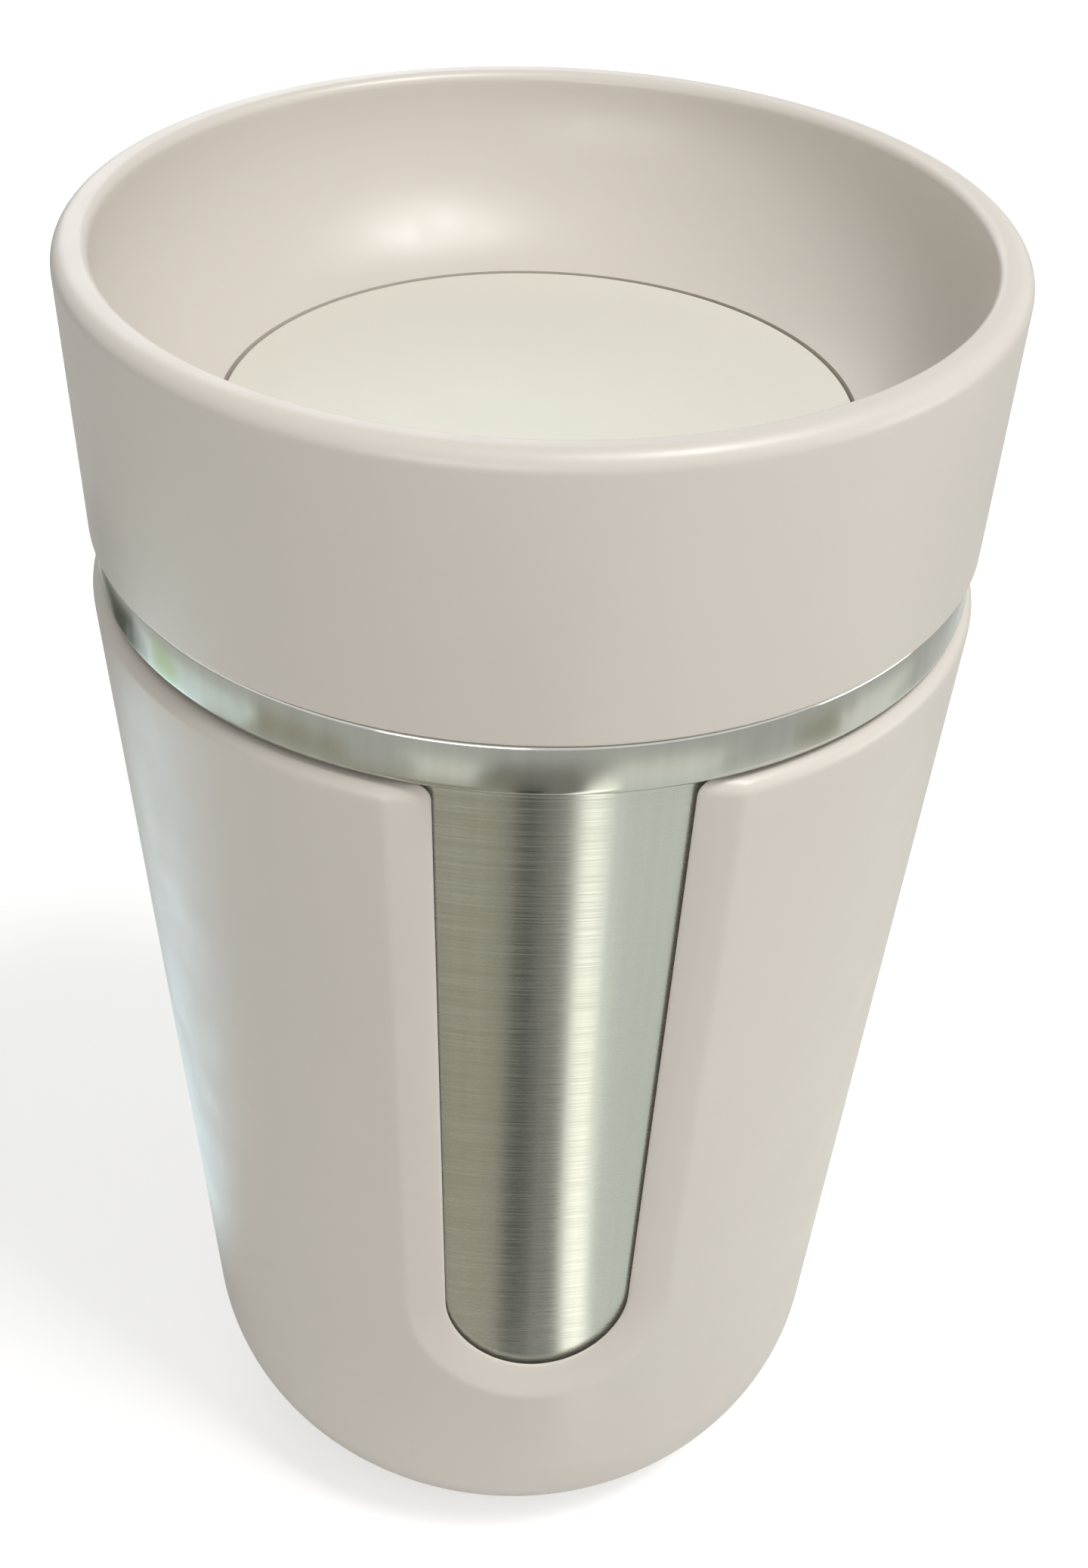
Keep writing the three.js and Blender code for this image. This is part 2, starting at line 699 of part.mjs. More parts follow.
function rotorWasher() {
  const hole = SCREW_RADIUS + FIT;
  const outer = Math.min(ROTOR_BORE + WASHER_OVERLAP, rotorRadius);
  return turned([
    [hole, washerFoot],
    [outer, washerFoot],
    [outer, washerTop],
    [hole, washerTop],
  ], SMALL_SIDES);
}

function endScrew() {
  const headTop = washerFoot - FIT;
  const headFoot = headTop - SCREW_HEAD_HEIGHT;
  return turned([
    [0, headFoot],
    [SCREW_HEAD_RADIUS, headFoot, SCREW_HEAD_ROUND],
    [SCREW_HEAD_RADIUS, headTop],
    [SCREW_RADIUS, headTop],
    [SCREW_RADIUS, washerFoot + SCREW_LENGTH],
    [0, washerFoot + SCREW_LENGTH],
  ], SMALL_SIDES);
}

// The spring stands on the cage's hub and lifts the carrier
const springFoot = cageTop + FIT;
const springTop = carrierFoot - FIT;

class SpringCurve extends THREE.Curve {
  getPoint(share, target = new THREE.Vector3()) {
    const angle = share * SPRING_TURNS * 2 * Math.PI;
    const foot = springFoot + SPRING_WIRE / 2;
    const top = springTop - SPRING_WIRE / 2;
    return target.set(
      springRadius * Math.cos(angle),
      springRadius * Math.sin(angle),
      THREE.MathUtils.lerp(foot, top, share),
    );
  }
}

// One unbroken tube: a ring of sides square to the coil at each step, with flat ends
function returnSpring() {
  const curve = new SpringCurve();
  const steps = Math.round(SPRING_TURNS * SPRING_STEPS);
  const positions = [];
  for (let step = 0; step <= steps; step++) {
    const centre = curve.getPoint(step / steps);
    const outward = new THREE.Vector3(centre.x, centre.y, 0).normalize();
    for (let side = 0; side < SPRING_SIDES; side++) {
      const angle = side / SPRING_SIDES * 2 * Math.PI;
      const spoke = outward.clone().multiplyScalar(Math.cos(angle));
      spoke.z = Math.sin(angle);
      positions.push(...centre.clone().addScaledVector(spoke, SPRING_WIRE / 2).toArray());
    }
  }
  const index = [];
  for (let step = 0; step < steps; step++) {
    for (let side = 0; side < SPRING_SIDES; side++) {
      const here = step * SPRING_SIDES + side;
      const beside = step * SPRING_SIDES + (side + 1) % SPRING_SIDES;
      const [above, aboveBeside] = [here + SPRING_SIDES, beside + SPRING_SIDES];
      index.push(here, aboveBeside, beside, here, above, aboveBeside);
    }
  }
  const last = steps * SPRING_SIDES;
  for (let side = 1; side < SPRING_SIDES - 1; side++) {
    index.push(0, side, side + 1, last, last + side + 1, last + side);
  }
  const geometry = new THREE.BufferGeometry();
  geometry.setAttribute("position", new THREE.Float32BufferAttribute(positions, 3));
  geometry.setIndex(index);
  return solidOf(geometry);
}

// Least gap between the wire of one turn and that of the next, measured on points along the coil
function springGap() {
  const curve = new SpringCurve();
  const steps = Math.round(SPRING_TURNS * SPRING_STEPS);
  const points = [];
  for (let step = 0; step <= steps; step++) points.push(curve.getPoint(step / steps));
  let least = Infinity;
  for (let here = 0; here <= steps; here++) {
    for (let there = here + SPRING_STEPS / 2; there <= steps; there++) {
      least = Math.min(least, points[here].distanceTo(points[there]));
    }
  }
  return least - SPRING_WIRE;
}
console.log(`return_spring: least gap to itself ${springGap().toFixed(2)} mm`);

const travelMug = new THREE.Group();

function addPiece(group, name, solid, look) {
  const mesh = new THREE.Mesh(geometryOf(solid), new THREE.MeshStandardMaterial(look));
  mesh.name = name;
  group.add(mesh);
}

const cup = new THREE.Group();
addPiece(cup, "outer_sleeve", outerSleeve(), BEIGE_PLASTIC);
addPiece(cup, "foot_ring", footRing(), FOOT_SILICONE);
addPiece(cup, "flask_outer_wall", flaskOuterWall(), POLISHED_STEEL);
addPiece(cup, "flask_base", flaskBase(), BRUSHED_STEEL);
addPiece(cup, "flask_liner", flaskLiner(), BRUSHED_STEEL);
addPiece(cup, "liner_floor", linerFloor(), BRUSHED_STEEL);
addPiece(cup, "vacuum_seal", vacuumSeal(), SEAL_RESIN);
addPiece(cup, "getter_pellet", getterPellet(), GETTER_METAL);

const lid = new THREE.Group();
addPiece(lid, "lid_shell", lidShell(), BEIGE_PLASTIC);
addPiece(lid, "lid_plug", lidPlug(), INNER_PLASTIC);
addPiece(lid, "lid_gasket", lidGasket(), SILICONE);
addPiece(lid, "valve_cage", valveCage(), GREY_PLASTIC);
addPiece(lid, "return_spring", returnSpring(), SPRING_STEEL);

const button = new THREE.Group();
addPiece(button, "button_disc", buttonDisc(), CREAM_PLASTIC);
addPiece(button, "button_carrier", buttonCarrier(), INNER_PLASTIC);
addPiece(button, "valve_seal", valveSeal(), SILICONE);
addPiece(button, "plunger", plunger(), GREY_PLASTIC);
addPiece(button, "ratchet_rotor", ratchetRotor(), INNER_PLASTIC);
addPiece(button, "rotor_washer", rotorWasher(), SPRING_STEEL);
addPiece(button, "end_screw", endScrew(), SPRING_STEEL);

lid.add(button);
travelMug.add(cup, lid);

export default travelMug;
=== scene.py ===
"""Insulated travel mug: smooth shells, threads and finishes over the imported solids, and a small studio."""

import json
import math

import bmesh
import bpy
from bpy.props import FloatProperty, FloatVectorProperty, IntProperty, PointerProperty
from mathutils import Matrix, Vector


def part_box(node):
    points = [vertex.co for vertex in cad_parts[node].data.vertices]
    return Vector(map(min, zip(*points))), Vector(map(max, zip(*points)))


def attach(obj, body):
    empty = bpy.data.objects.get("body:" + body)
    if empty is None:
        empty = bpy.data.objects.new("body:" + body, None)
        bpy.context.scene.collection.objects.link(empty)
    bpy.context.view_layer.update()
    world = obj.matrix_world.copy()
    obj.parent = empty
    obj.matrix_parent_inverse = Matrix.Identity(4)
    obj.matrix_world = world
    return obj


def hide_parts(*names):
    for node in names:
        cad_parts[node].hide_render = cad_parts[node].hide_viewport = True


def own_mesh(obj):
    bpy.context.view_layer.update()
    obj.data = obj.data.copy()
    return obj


bl_info = {
    "name": "Travel mug dressing",
    "version": (1, 0, 0),
    "blender": (4, 5, 0),
    "location": "3D View > Sidebar > Mug",
    "description": "Builds the shells, threads and finishes of a press-to-open travel mug around its solids",
    "category": "Add Mesh",
}

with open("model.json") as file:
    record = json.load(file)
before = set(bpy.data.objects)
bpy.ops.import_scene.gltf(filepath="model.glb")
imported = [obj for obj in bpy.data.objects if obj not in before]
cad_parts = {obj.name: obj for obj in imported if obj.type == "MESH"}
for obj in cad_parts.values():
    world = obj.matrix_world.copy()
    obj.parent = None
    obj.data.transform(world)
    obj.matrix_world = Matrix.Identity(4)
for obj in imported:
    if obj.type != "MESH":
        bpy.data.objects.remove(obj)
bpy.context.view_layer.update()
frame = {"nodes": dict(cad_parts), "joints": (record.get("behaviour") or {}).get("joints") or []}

# All sizes below are millimetres, and meshes are scaled to metres when they are finished
METRE = 0.001
SAME_POINT = 1e-4
FIT = 0.3


def solid_heights(node):
    """Foot and top of a solid."""
    lowest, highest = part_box(node)
    return lowest[2] / METRE, highest[2] / METRE


def solid_radii(node):
    """Smallest and largest radius of a solid round the mug's axis."""
    radii = [vertex.co.xy.length / METRE for vertex in frame["nodes"][node].data.vertices]
    return min(radii), max(radii)


joints = {joint["name"]: joint for joint in frame["joints"]}

# Sleeve
SLEEVE_FOOT, SLEEVE_TOP = solid_heights("outer_sleeve")
SLEEVE_TOP_RADIUS = 43.3
SLEEVE_BASE_RADIUS = 36.5
SLEEVE_WALL = 1.9
BASE_ROUND = 21.0
BASE_EDGE_ROUND = 7.5
BASE_TURN = math.radians(48)
FOOT_INNER, FOOT_OUTER = solid_radii("foot_ring")
FOOT_TOP = solid_heights("foot_ring")[1]
TREAD_GROOVES = ((0.22, 0.34), (0.44, 0.56), (0.66, 0.78))
GROOVE_DEPTH = 0.35

# Window in the sleeve
WINDOW_TOP_HALF = 12.0
WINDOW_FOOT_HALF = 10.3
WINDOW_FOOT = 34.0
WINDOW_LAND = 0.3
WINDOW_CORNER = 1.5
LAND_BREAK = 0.1
BEVEL_LINES = (0.35, 1.1, 2.0)
BEVEL_MARGIN = 0.6
PANEL_ANGLE = math.radians(34)
PANEL_FOOT = 26.0
PANEL_LINES = (0.3, 0.65, 1.0)
WINDOW_FOOT_STEPS = 24
WINDOW_SIDE_STEPS = 24
WINDOW_CORNER_STEPS = 10
WINDOW_SOFT_STEPS = 8
BACK_STEPS_SHARE = 7 / 9

# Flask
OUTER_STEEL = 0.6
LINER_STEEL = 0.5
VACUUM_GAP = 2.6
COLLAR_FOOT = SLEEVE_TOP + FIT
COLLAR_RADIUS = solid_radii("flask_outer_wall")[1]
MOUTH_TOP = solid_heights("flask_outer_wall")[1]
MOUTH_RADIUS = 38.1
NECK_FOOT = 102.4
NECK_STEP = 3.0
DIMPLE_RADIUS = 7.0
DIMPLE_RISE = 1.3
DIMPLE_SLOPE = 1.5

# Lid
LID_FOOT, RIM_TOP = solid_heights("lid_shell")
LID_FOOT_RADIUS = 43.0
RIM_RADIUS = 44.0
BOWL_WALL = 2.0
THROAT_RADIUS = solid_radii("lid_shell")[0]
LEDGE_RADIUS, FLANGE_RADIUS = solid_radii("lid_plug")
LID_HOLLOW = FLANGE_RADIUS + FIT
PLUG_FOOT = solid_heights("lid_plug")[0]
PLUG_RADIUS = 36.5
CHAMBER_RADIUS = 34.8
LEDGE_TOP = 105.6
GASKET_FOOT, GASKET_TOP = solid_heights("lid_gasket")
GASKET_INNER, GASKET_OUTER = solid_radii("lid_gasket")
FLANGE_FOOT = GASKET_TOP + FIT
FLANGE_THICK = 1.8
RIB_HEIGHT = 0.45
RIB_FLANK = 0.3
GASKET_RIBS = ((0.9, 1.2), (2.4, 2.8))

# Button and valve
SKIRT_FOOT, BUTTON_TOP = solid_heights("button_disc")
BUTTON_THICK = 2.0
BUTTON_FOOT = BUTTON_TOP - BUTTON_THICK
BUTTON_RADIUS = solid_radii("button_disc")[1]
SEAL_FOOT, SEAL_TOP = solid_heights("valve_seal")
SEAL_INNER, SEAL_RADIUS = solid_radii("valve_seal")
SEAL_LIP = 1.6
SEAL_THICK = 1.9
SEAL_TIP_THICK = 0.75
SEAT_HEIGHT = SEAL_TOP + FIT
SEAT_RADIUS = 33.6
SKIRT_RADIUS = SEAL_INNER - FIT
SKIRT_WALL = 1.5
SPRING_FOOT = joints["button_press"]["deforming_nodes"][0]["fixed_end_z_m"] / METRE
SPRING_TOP = solid_heights("button_carrier")[0] - FIT
SPRING_RADIUS = 10.05
SPRING_WIRE = 1.2
SPRING_TURNS = 4.5
SPRING_TURN_STEPS = 48
SPRING_SIDES = 12
LID_TURNS = joints["lid_turn"]["range_deg"][1] / 360

# Screw threads: the widths are those of a ridge's root and crest
THREAD_STARTS = 2
THREAD_SWEEP = math.radians(290)
THREAD_RUN_OUT = math.radians(24)
THREAD_STEPS = 96
THREAD_SINK = 0.06
THREAD_CREST_ROUND = 0.3
THREAD_END_SHARE = 0.02
MOUTH_THREAD_FOOT = 110.4
MOUTH_THREAD_DEPTH = 1.05
MOUTH_THREAD_WIDTHS = (2.6, 1.0)
MOUTH_THREAD_TURN = math.radians(20)
PLUG_THREAD_FOOT = 106.8
PLUG_THREAD_DEPTH = 0.95
PLUG_THREAD_WIDTHS = (2.4, 1.1)
PLUG_THREAD_TURN = math.radians(-40)

# Rounds of edges: a radius and the segments that draw it
EDGE = (0.3, 3)
FOOT_EDGE = (0.3, 4)
TREAD_EDGE = (0.12, 3)
GROOVE_EDGE = (0.1, 3)
COLLAR_ROOT = (0.3, 4)
COLLAR_FOOT_EDGE = (0.95, 8)
COLLAR_TOP_EDGE = (0.4, 5)
NECK_OUTER_BEND = (2.0, 5)
NECK_INNER_BEND = (2.4, 5)
LIP_EDGE = (0.25, 4)
MOUTH_EDGE = (0.6, 6)
DIMPLE_TOP_BEND = (0.6, 4)
DIMPLE_FOOT_BEND = (0.8, 4)
LID_FOOT_EDGE = (0.45, 5)
THROAT_EDGE = (0.2, 4)
SEAT_EDGE = (0.2, 3)
PLUG_FOOT_EDGE = (0.85, 6)
FLANGE_ROOT = (0.25, 3)
RIB_EDGE = (0.2, 3)
RIB_ROOT = (0.15, 3)
DISC_EDGE = (0.35, 5)
SKIRT_ROOT = (0.4, 4)
SEAL_BEND = (0.6, 4)
SEAL_TIP = (0.3, 4)
SEAL_TIP_INNER = (0.4, 4)
RIM_SEGMENTS = 12
INNER_RIM_SEGMENTS = 10
BOWL_SEGMENTS = 36
UNDER_BOWL_STEPS = 10

# Metal and resin tones that stay out of sight
WIRE_TONE = (0.50, 0.51, 0.52)
GETTER_TONE = (0.16, 0.165, 0.17)
RESIN_TONE = (0.26, 0.23, 0.19)
RESIN_DRIFT = (0.23, 0.20, 0.17)

# Studio sizes in metres, and where the near and the far glowing cards of the painted reflections end
FLOOR_RADIUS = 4.0
FLOOR_SIDES = 64
FLOOR_LIFT_REACH = (0.25, 0.9)
CARDS_INNER = 0.05
CARDS_OUTER = 0.6
CARDS_SIDES = 96
CARDS_HEIGHT = 0.0006
NEAR_END = (0.165, 0.185)
FAR_END = (0.22, 0.24)

# Lamps: place, aim, sides and colour
LAMPS = {
    "key": ((0.29, -0.22, 0.83), (0.0, 0.0, 0.10), (0.28, 0.28), (1.0, 0.995, 0.98)),
    "side": ((0.55, -0.10, 0.10), (0.0, 0.0, 0.05), (0.30, 0.15), (1.0, 0.99, 0.97)),
    "back": ((-0.15, 0.75, 0.45), (0.0, 0.0, 0.08), (0.50, 0.50), (0.97, 0.99, 1.0)),
    "fill": ((-0.30, -0.76, 0.27), (0.0, 0.0, 0.07), (0.50, 0.25), (1.0, 0.985, 0.96)),
}

# Glowing studio cards that only show in reflections, as painted reflections: a tone and the degrees where a
# card starts and ends, round the mug from its window
CARD_TONES = {
    "dark": (0.08, 0.09, 0.07),
    "shade": (0.24, 0.24, 0.21),
    "dim": (0.40, 0.38, 0.29),
    "mid": (0.54, 0.55, 0.51),
    "soft": (0.77, 0.83, 0.75),
    "light": (0.92, 0.94, 0.85),
    "leaf": (0.62, 0.80, 0.52),
    "sky": (0.85, 0.96, 0.92),
    "cool": (1.45, 1.87, 2.02),
    "bright": (1.90, 1.92, 1.70),
}
NEAR_CARDS = (
    ("mid", -180, -135), ("cool", -122, -103), ("mid", -88, -60), ("dim", -40, -10), ("dark", -6, -1),
    ("shade", 1, 8), ("bright", 11, 15.5), ("soft", 18, 40), ("light", 60, 110), ("mid", 140, 180),
)
FAR_CARDS = (
    ("mid", -180, -150), ("dark", -139, -122), ("sky", -116, -112), ("leaf", -106, -104), ("sky", -98, -76),
    ("dim", -72, -52), ("mid", -48, -34), ("light", -29, -19), ("shade", -13, 8), ("light", 17, 37),
    ("mid", 43, 62), ("dim", 66, 74), ("light", 79, 97), ("mid", 104, 180),
)


class MugSizes(bpy.types.PropertyGroup):
    """Sizes of the mug's visible forms."""

    girth_steps: IntProperty(
        name="Girth steps", description="Facets round a shell that shows", default=192, min=48, max=384)
    inner_steps: IntProperty(
        name="Inner steps", description="Facets round a piece inside the mug", default=128, min=32, max=256)
    window_bevel: FloatProperty(
        name="Window bevel", description="Width of the bevel round the window", default=0.0038, unit="LENGTH")
    window_softness: FloatProperty(
        name="Window softness", description="Half width of the round where the bevel meets the wall",
        default=0.00045, unit="LENGTH")
    lip_round: FloatProperty(
        name="Sleeve lip", description="Round on the sleeve's top edge", default=0.0015, unit="LENGTH")
    rim_round: FloatProperty(
        name="Rim", description="Round of the lid's drinking rim", default=0.0017, unit="LENGTH")
    rim_inner_round: FloatProperty(
        name="Inner rim", description="Round where the rim turns into the bowl", default=0.001, unit="LENGTH")
    thread_lead: FloatProperty(
        name="Thread lead", description="Rise of the screw lid in a turn",
        default=joints["lid_rise"]["range_m"][1] / LID_TURNS, unit="LENGTH")


class MugColours(bpy.types.PropertyGroup):
    """Colours of the mug's finishes."""

    shell: FloatVectorProperty(
        name="Shell", description="Moulded sleeve and lid", subtype="COLOR", default=(0.64, 0.595, 0.535))
    shell_drift: FloatVectorProperty(
        name="Shell drift", description="Second tone of the moulding", subtype="COLOR",
        default=(0.615, 0.575, 0.525))
    disc: FloatVectorProperty(
        name="Disc", description="Press disc in the bowl", subtype="COLOR", default=(0.72, 0.70, 0.62))
    disc_drift: FloatVectorProperty(
        name="Disc drift", description="Second tone of the disc", subtype="COLOR",
        default=(0.705, 0.687, 0.612))
    steel: FloatVectorProperty(
        name="Steel", description="Brushed steel of the flask", subtype="COLOR", default=(0.60, 0.60, 0.565))
    inner: FloatVectorProperty(
        name="Inner plastic", description="Plug and carrier mouldings", subtype="COLOR",
        default=(0.70, 0.65, 0.58))
    works: FloatVectorProperty(
        name="Valve works", description="Cage and plunger mouldings", subtype="COLOR",
        default=(0.27, 0.26, 0.25))
    silicone: FloatVectorProperty(
        name="Silicone", description="Gasket and valve seal", subtype="COLOR", default=(0.80, 0.78, 0.73))
    foot: FloatVectorProperty(
        name="Foot", description="Foot ring", subtype="COLOR", default=(0.40, 0.35, 0.30))


class MugStudio(bpy.types.PropertyGroup):
    """Camera, lamps and floor."""

    lens: FloatProperty(name="Lens", description="Focal length", default=50.18, unit="CAMERA")
    camera_place: FloatVectorProperty(
        name="Camera", description="Place of the camera", subtype="TRANSLATION",
        default=(-0.01558, -0.18752, 0.22546))
    camera_aim: FloatVectorProperty(
        name="Aim", description="Point in the middle of the picture", subtype="TRANSLATION",
        default=(0.00191, 0.00030, 0.08531))
    camera_roll: FloatProperty(
        name="Roll", description="Turn of the picture", default=math.radians(2.235), subtype="ANGLE")
    floor: FloatVectorProperty(
        name="Floor", description="Pale floor", subtype="COLOR", default=(0.80, 0.80, 0.795))
    key_power: FloatProperty(name="Key", description="Soft lamp above the right", default=4.7, unit="POWER")
    side_power: FloatProperty(name="Side", description="Low lamp on the right", default=0.5, unit="POWER")
    fill_power: FloatProperty(
        name="Fill", description="Soft lamp in front on the left", default=1.6, unit="POWER")
    back_power: FloatProperty(name="Back", description="Soft lamp behind", default=1.2, unit="POWER")
    world_level: FloatProperty(name="Surround", description="Light from all round", default=0.30)
    floor_lift: FloatProperty(name="Floor lift", description="Glow of the floor round the mug", default=0.5)
    floor_far_lift: FloatProperty(name="Far lift", description="Glow of the floor far off", default=0.9)


def spaced(start, end, steps):
    """Numbers from start to end in even steps, both ends included."""
    return [start + (end - start) * step / steps for step in range(steps + 1)]


wide_centre = Vector((
    SLEEVE_BASE_RADIUS - BASE_ROUND,
    SLEEVE_FOOT + BASE_EDGE_ROUND + (BASE_ROUND - BASE_EDGE_ROUND) * math.sin(BASE_TURN),
))
edge_centre = Vector((
    wide_centre.x + (BASE_ROUND - BASE_EDGE_ROUND) * math.cos(BASE_TURN),
    SLEEVE_FOOT + BASE_EDGE_ROUND,
))


def sleeve_taper():
    """The angle of the sleeve's wall, tangent to the wide round of its base."""
    across = SLEEVE_TOP_RADIUS - wide_centre.x
    up = SLEEVE_TOP - wide_centre.y
    return math.acos(BASE_ROUND / math.hypot(across, up)) - math.atan2(up, across)


taper = sleeve_taper()
wall_inset = SLEEVE_WALL + FIT
liner_inset = wall_inset + OUTER_STEEL + VACUUM_GAP


def taper_radius(height, inset=0.0):
    """Radius of the tapered wall at a height, set in from the sleeve's outside."""
    return SLEEVE_TOP_RADIUS - (SLEEVE_TOP - height) * math.tan(taper) - inset / math.cos(taper)


def base_top(inset):
    """Height where the rounded base meets the taper."""
    return wide_centre.y - (BASE_ROUND - inset) * math.sin(taper)


def base_curve(inset, edge_steps=8, wide_steps=20):
    """Radius and height along the rounded base, from its flat up to the taper."""
    arcs = [
        (edge_centre, BASE_EDGE_ROUND - inset, spaced(math.pi / 2, BASE_TURN, edge_steps)),
        (wide_centre, BASE_ROUND - inset, spaced(BASE_TURN, taper, wide_steps)[1:]),
    ]
    return [
        (centre.x + radius * math.cos(angle), centre.y - radius * math.sin(angle))
        for centre, radius, angles in arcs
        for angle in angles
    ]


def rounded_chain(mesh, corners, closed):
    """Joins corners of (radius, height) by edges. A corner with a round and segments gets a vertex bevel."""
    places = [Vector((radius, 0.0, height)) for radius, height, *_ in corners]
    chain = [mesh.verts.new(place) for place in places]
    pairs = list(zip(chain, chain[1:]))
    if closed:
        pairs.append((chain[-1], chain[0]))
    for pair in pairs:
        mesh.edges.new(pair)
    for index, corner in enumerate(corners):
        if len(corner) == 2:
            continue
        here = places[index]
        before = (places[index - 1] - here).normalized()
        after = (places[(index + 1) % len(places)] - here).normalized()
        reach = corner[2] / math.tan(before.angle(after) / 2)
        bmesh.ops.bevel(
            mesh, geom=[chain[index]], offset=reach, offset_type="OFFSET", affect="VERTICES",
            segments=corner[3], profile=0.5, material=-1)


def spin_round(mesh, angle, steps, rise=0.0, merge=False, geom=None):
    """Spins a mesh, or some of it, round the mug's axis, and lifts it by a rise on the way."""
    geom = geom or mesh.verts[:] + mesh.edges[:] + mesh.faces[:]
    bmesh.ops.spin(
        mesh, geom=geom, cent=(0, 0, 0), axis=(0, 0, 1), dvec=(0, 0, rise / steps), angle=angle, steps=steps,
        use_merge=merge, use_duplicate=False)


def turned(corners, steps, closed=True):
    """A body turned round the mug's axis. An open profile starts and ends on the axis."""
    mesh = bmesh.new()
    rounded_chain(mesh, corners, closed)
    spin_round(mesh, 2 * math.pi, steps, merge=True)
    close_up(mesh)
    return mesh


def close_up(mesh):
    """Merges seams and poles and turns all faces outwards."""
    bmesh.ops.remove_doubles(mesh, verts=mesh.verts, dist=SAME_POINT)
    bmesh.ops.dissolve_degenerate(mesh, edges=mesh.edges, dist=SAME_POINT)
    bmesh.ops.recalc_face_normals(mesh, faces=mesh.faces)


def joined(*bodies):
    """Several bodies as the islands of one mesh."""
    whole = bmesh.new()
    for body in bodies:
        part = bpy.data.meshes.new("part")
        body.to_mesh(part)
        body.free()
        whole.from_mesh(part)
        bpy.data.meshes.remove(part)
    return whole


def placed(mesh, name, material):
    """Makes a mesh into an object of the scene with one material."""
    data = bpy.data.meshes.new(name)
    mesh.to_mesh(data)
    mesh.free()
    data.materials.append(material)
    made = bpy.data.objects.new(name, data)
    bpy.context.scene.collection.objects.link(made)
    return made


def finish_piece(mesh, name, body, finish, nodes=(), sharp=32):
    """Makes a mesh in millimetres into a piece with a finish that rides on a body and stands for nodes."""
    bmesh.ops.scale(mesh, vec=(METRE, METRE, METRE), verts=mesh.verts)
    piece = placed(mesh, name, finish_named(finish))
    piece.data.polygons.foreach_set("use_smooth", [True] * len(piece.data.polygons))
    piece.data.set_sharp_from_angle(angle=math.radians(sharp))
    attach(piece, body)
    if nodes:
        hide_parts(*nodes)
    return piece


def loft(mesh, rings):
    """Extrudes a first chain of points from ring to ring, and returns the vertices of each ring."""
    chain = [mesh.verts.new(point) for point in rings[0]]
    edges = [mesh.edges.new(pair) for pair in zip(chain, chain[1:])]
    made = [chain]
    for ring in rings[1:]:
        grown = set(bmesh.ops.extrude_edge_only(mesh, edges=edges)["geom"])
        chain = [next(e.other_vert(v) for e in v.link_edges if e.other_vert(v) in grown) for v in chain]
        for vert, point in zip(chain, ring):
            vert.co = point
        edges = [mesh.edges.get(pair) for pair in zip(chain, chain[1:])]
        made.append(chain)
    return made


def grow_loop(mesh, edges, stations):
    """Extrudes a level loop of edges round the axis through stations of radius and height."""
    for radius, height in stations:
        grown = bmesh.ops.extrude_edge_only(mesh, edges=edges)["geom"]
        verts = {item for item in grown if isinstance(item, bmesh.types.BMVert)}
        edges = [e for e in grown if isinstance(e, bmesh.types.BMEdge) and verts.issuperset(e.verts)]
        first = next(iter(verts)).co
        scale = radius / first.xy.length
        lift = height - first.z
        bmesh.ops.scale(mesh, vec=(scale, scale, 1), verts=list(verts))
        bmesh.ops.translate(mesh, vec=(0, 0, lift), verts=list(verts))


class Finish:
    """A procedural material in the making, on Object coordinates."""

    def __init__(self, name, roughness, metallic=0.0):
        self.material = bpy.data.materials.new(name)
        self.material.use_nodes = True
        self.tree = self.material.node_tree
        self.shader = self.tree.nodes["Principled BSDF"]
        self.shader.inputs["Roughness"].default_value = roughness
        self.shader.inputs["Metallic"].default_value = metallic
        self.place = self.tree.nodes.new("ShaderNodeTexCoord").outputs["Object"]

    def node(self, kind, inputs=(), **settings):
        made = self.tree.nodes.new(kind)
        for key, value in settings.items():
            setattr(made, key, value)
        for key, value in dict(inputs).items():
            if isinstance(value, bpy.types.NodeSocket):
                self.tree.links.new(value, made.inputs[key])
            else:
                made.inputs[key].default_value = value
        return made

    def noise(self, scale, detail=2.0, vector=None):
        inputs = {"Vector": vector or self.place, "Scale": scale, "Detail": detail}
        return self.node("ShaderNodeTexNoise", inputs).outputs[0]

    def ranged(self, value, low, high, start=0.3, end=0.7):
        inputs = {"Value": value, "From Min": start, "From Max": end, "To Min": low, "To Max": high}
        return self.node("ShaderNodeMapRange", inputs).outputs[0]

    def blended(self, share, first, second):
        inputs = {0: share, 6: first, 7: second}
        return self.node("ShaderNodeMix", inputs, data_type="RGBA").outputs[2]

    def maths(self, operation, first, second=0.0):
        return self.node("ShaderNodeMath", {0: first, 1: second}, operation=operation).outputs[0]

    def bump(self, height, strength, distance, under=None):
        inputs = {"Height": height, "Strength": strength, "Distance": distance}
        if under:
            inputs["Normal"] = under
        return self.node("ShaderNodeBump", inputs).outputs[0]

    def set(self, **sockets):
        for key, value in sockets.items():
            socket = self.shader.inputs[key.replace("_", " ")]
            if isinstance(value, bpy.types.NodeSocket):
                self.tree.links.new(value, socket)
            else:
                socket.default_value = value
        return self.material

    def axes(self):
        return self.node("ShaderNodeSeparateXYZ", {0: self.place}).outputs

    def reach(self):
        return self.node("ShaderNodeVectorMath", {0: self.place}, operation="LENGTH").outputs["Value"]


def opaque(colour):
    """A colour with its alpha."""
    return (*colour, 1.0)


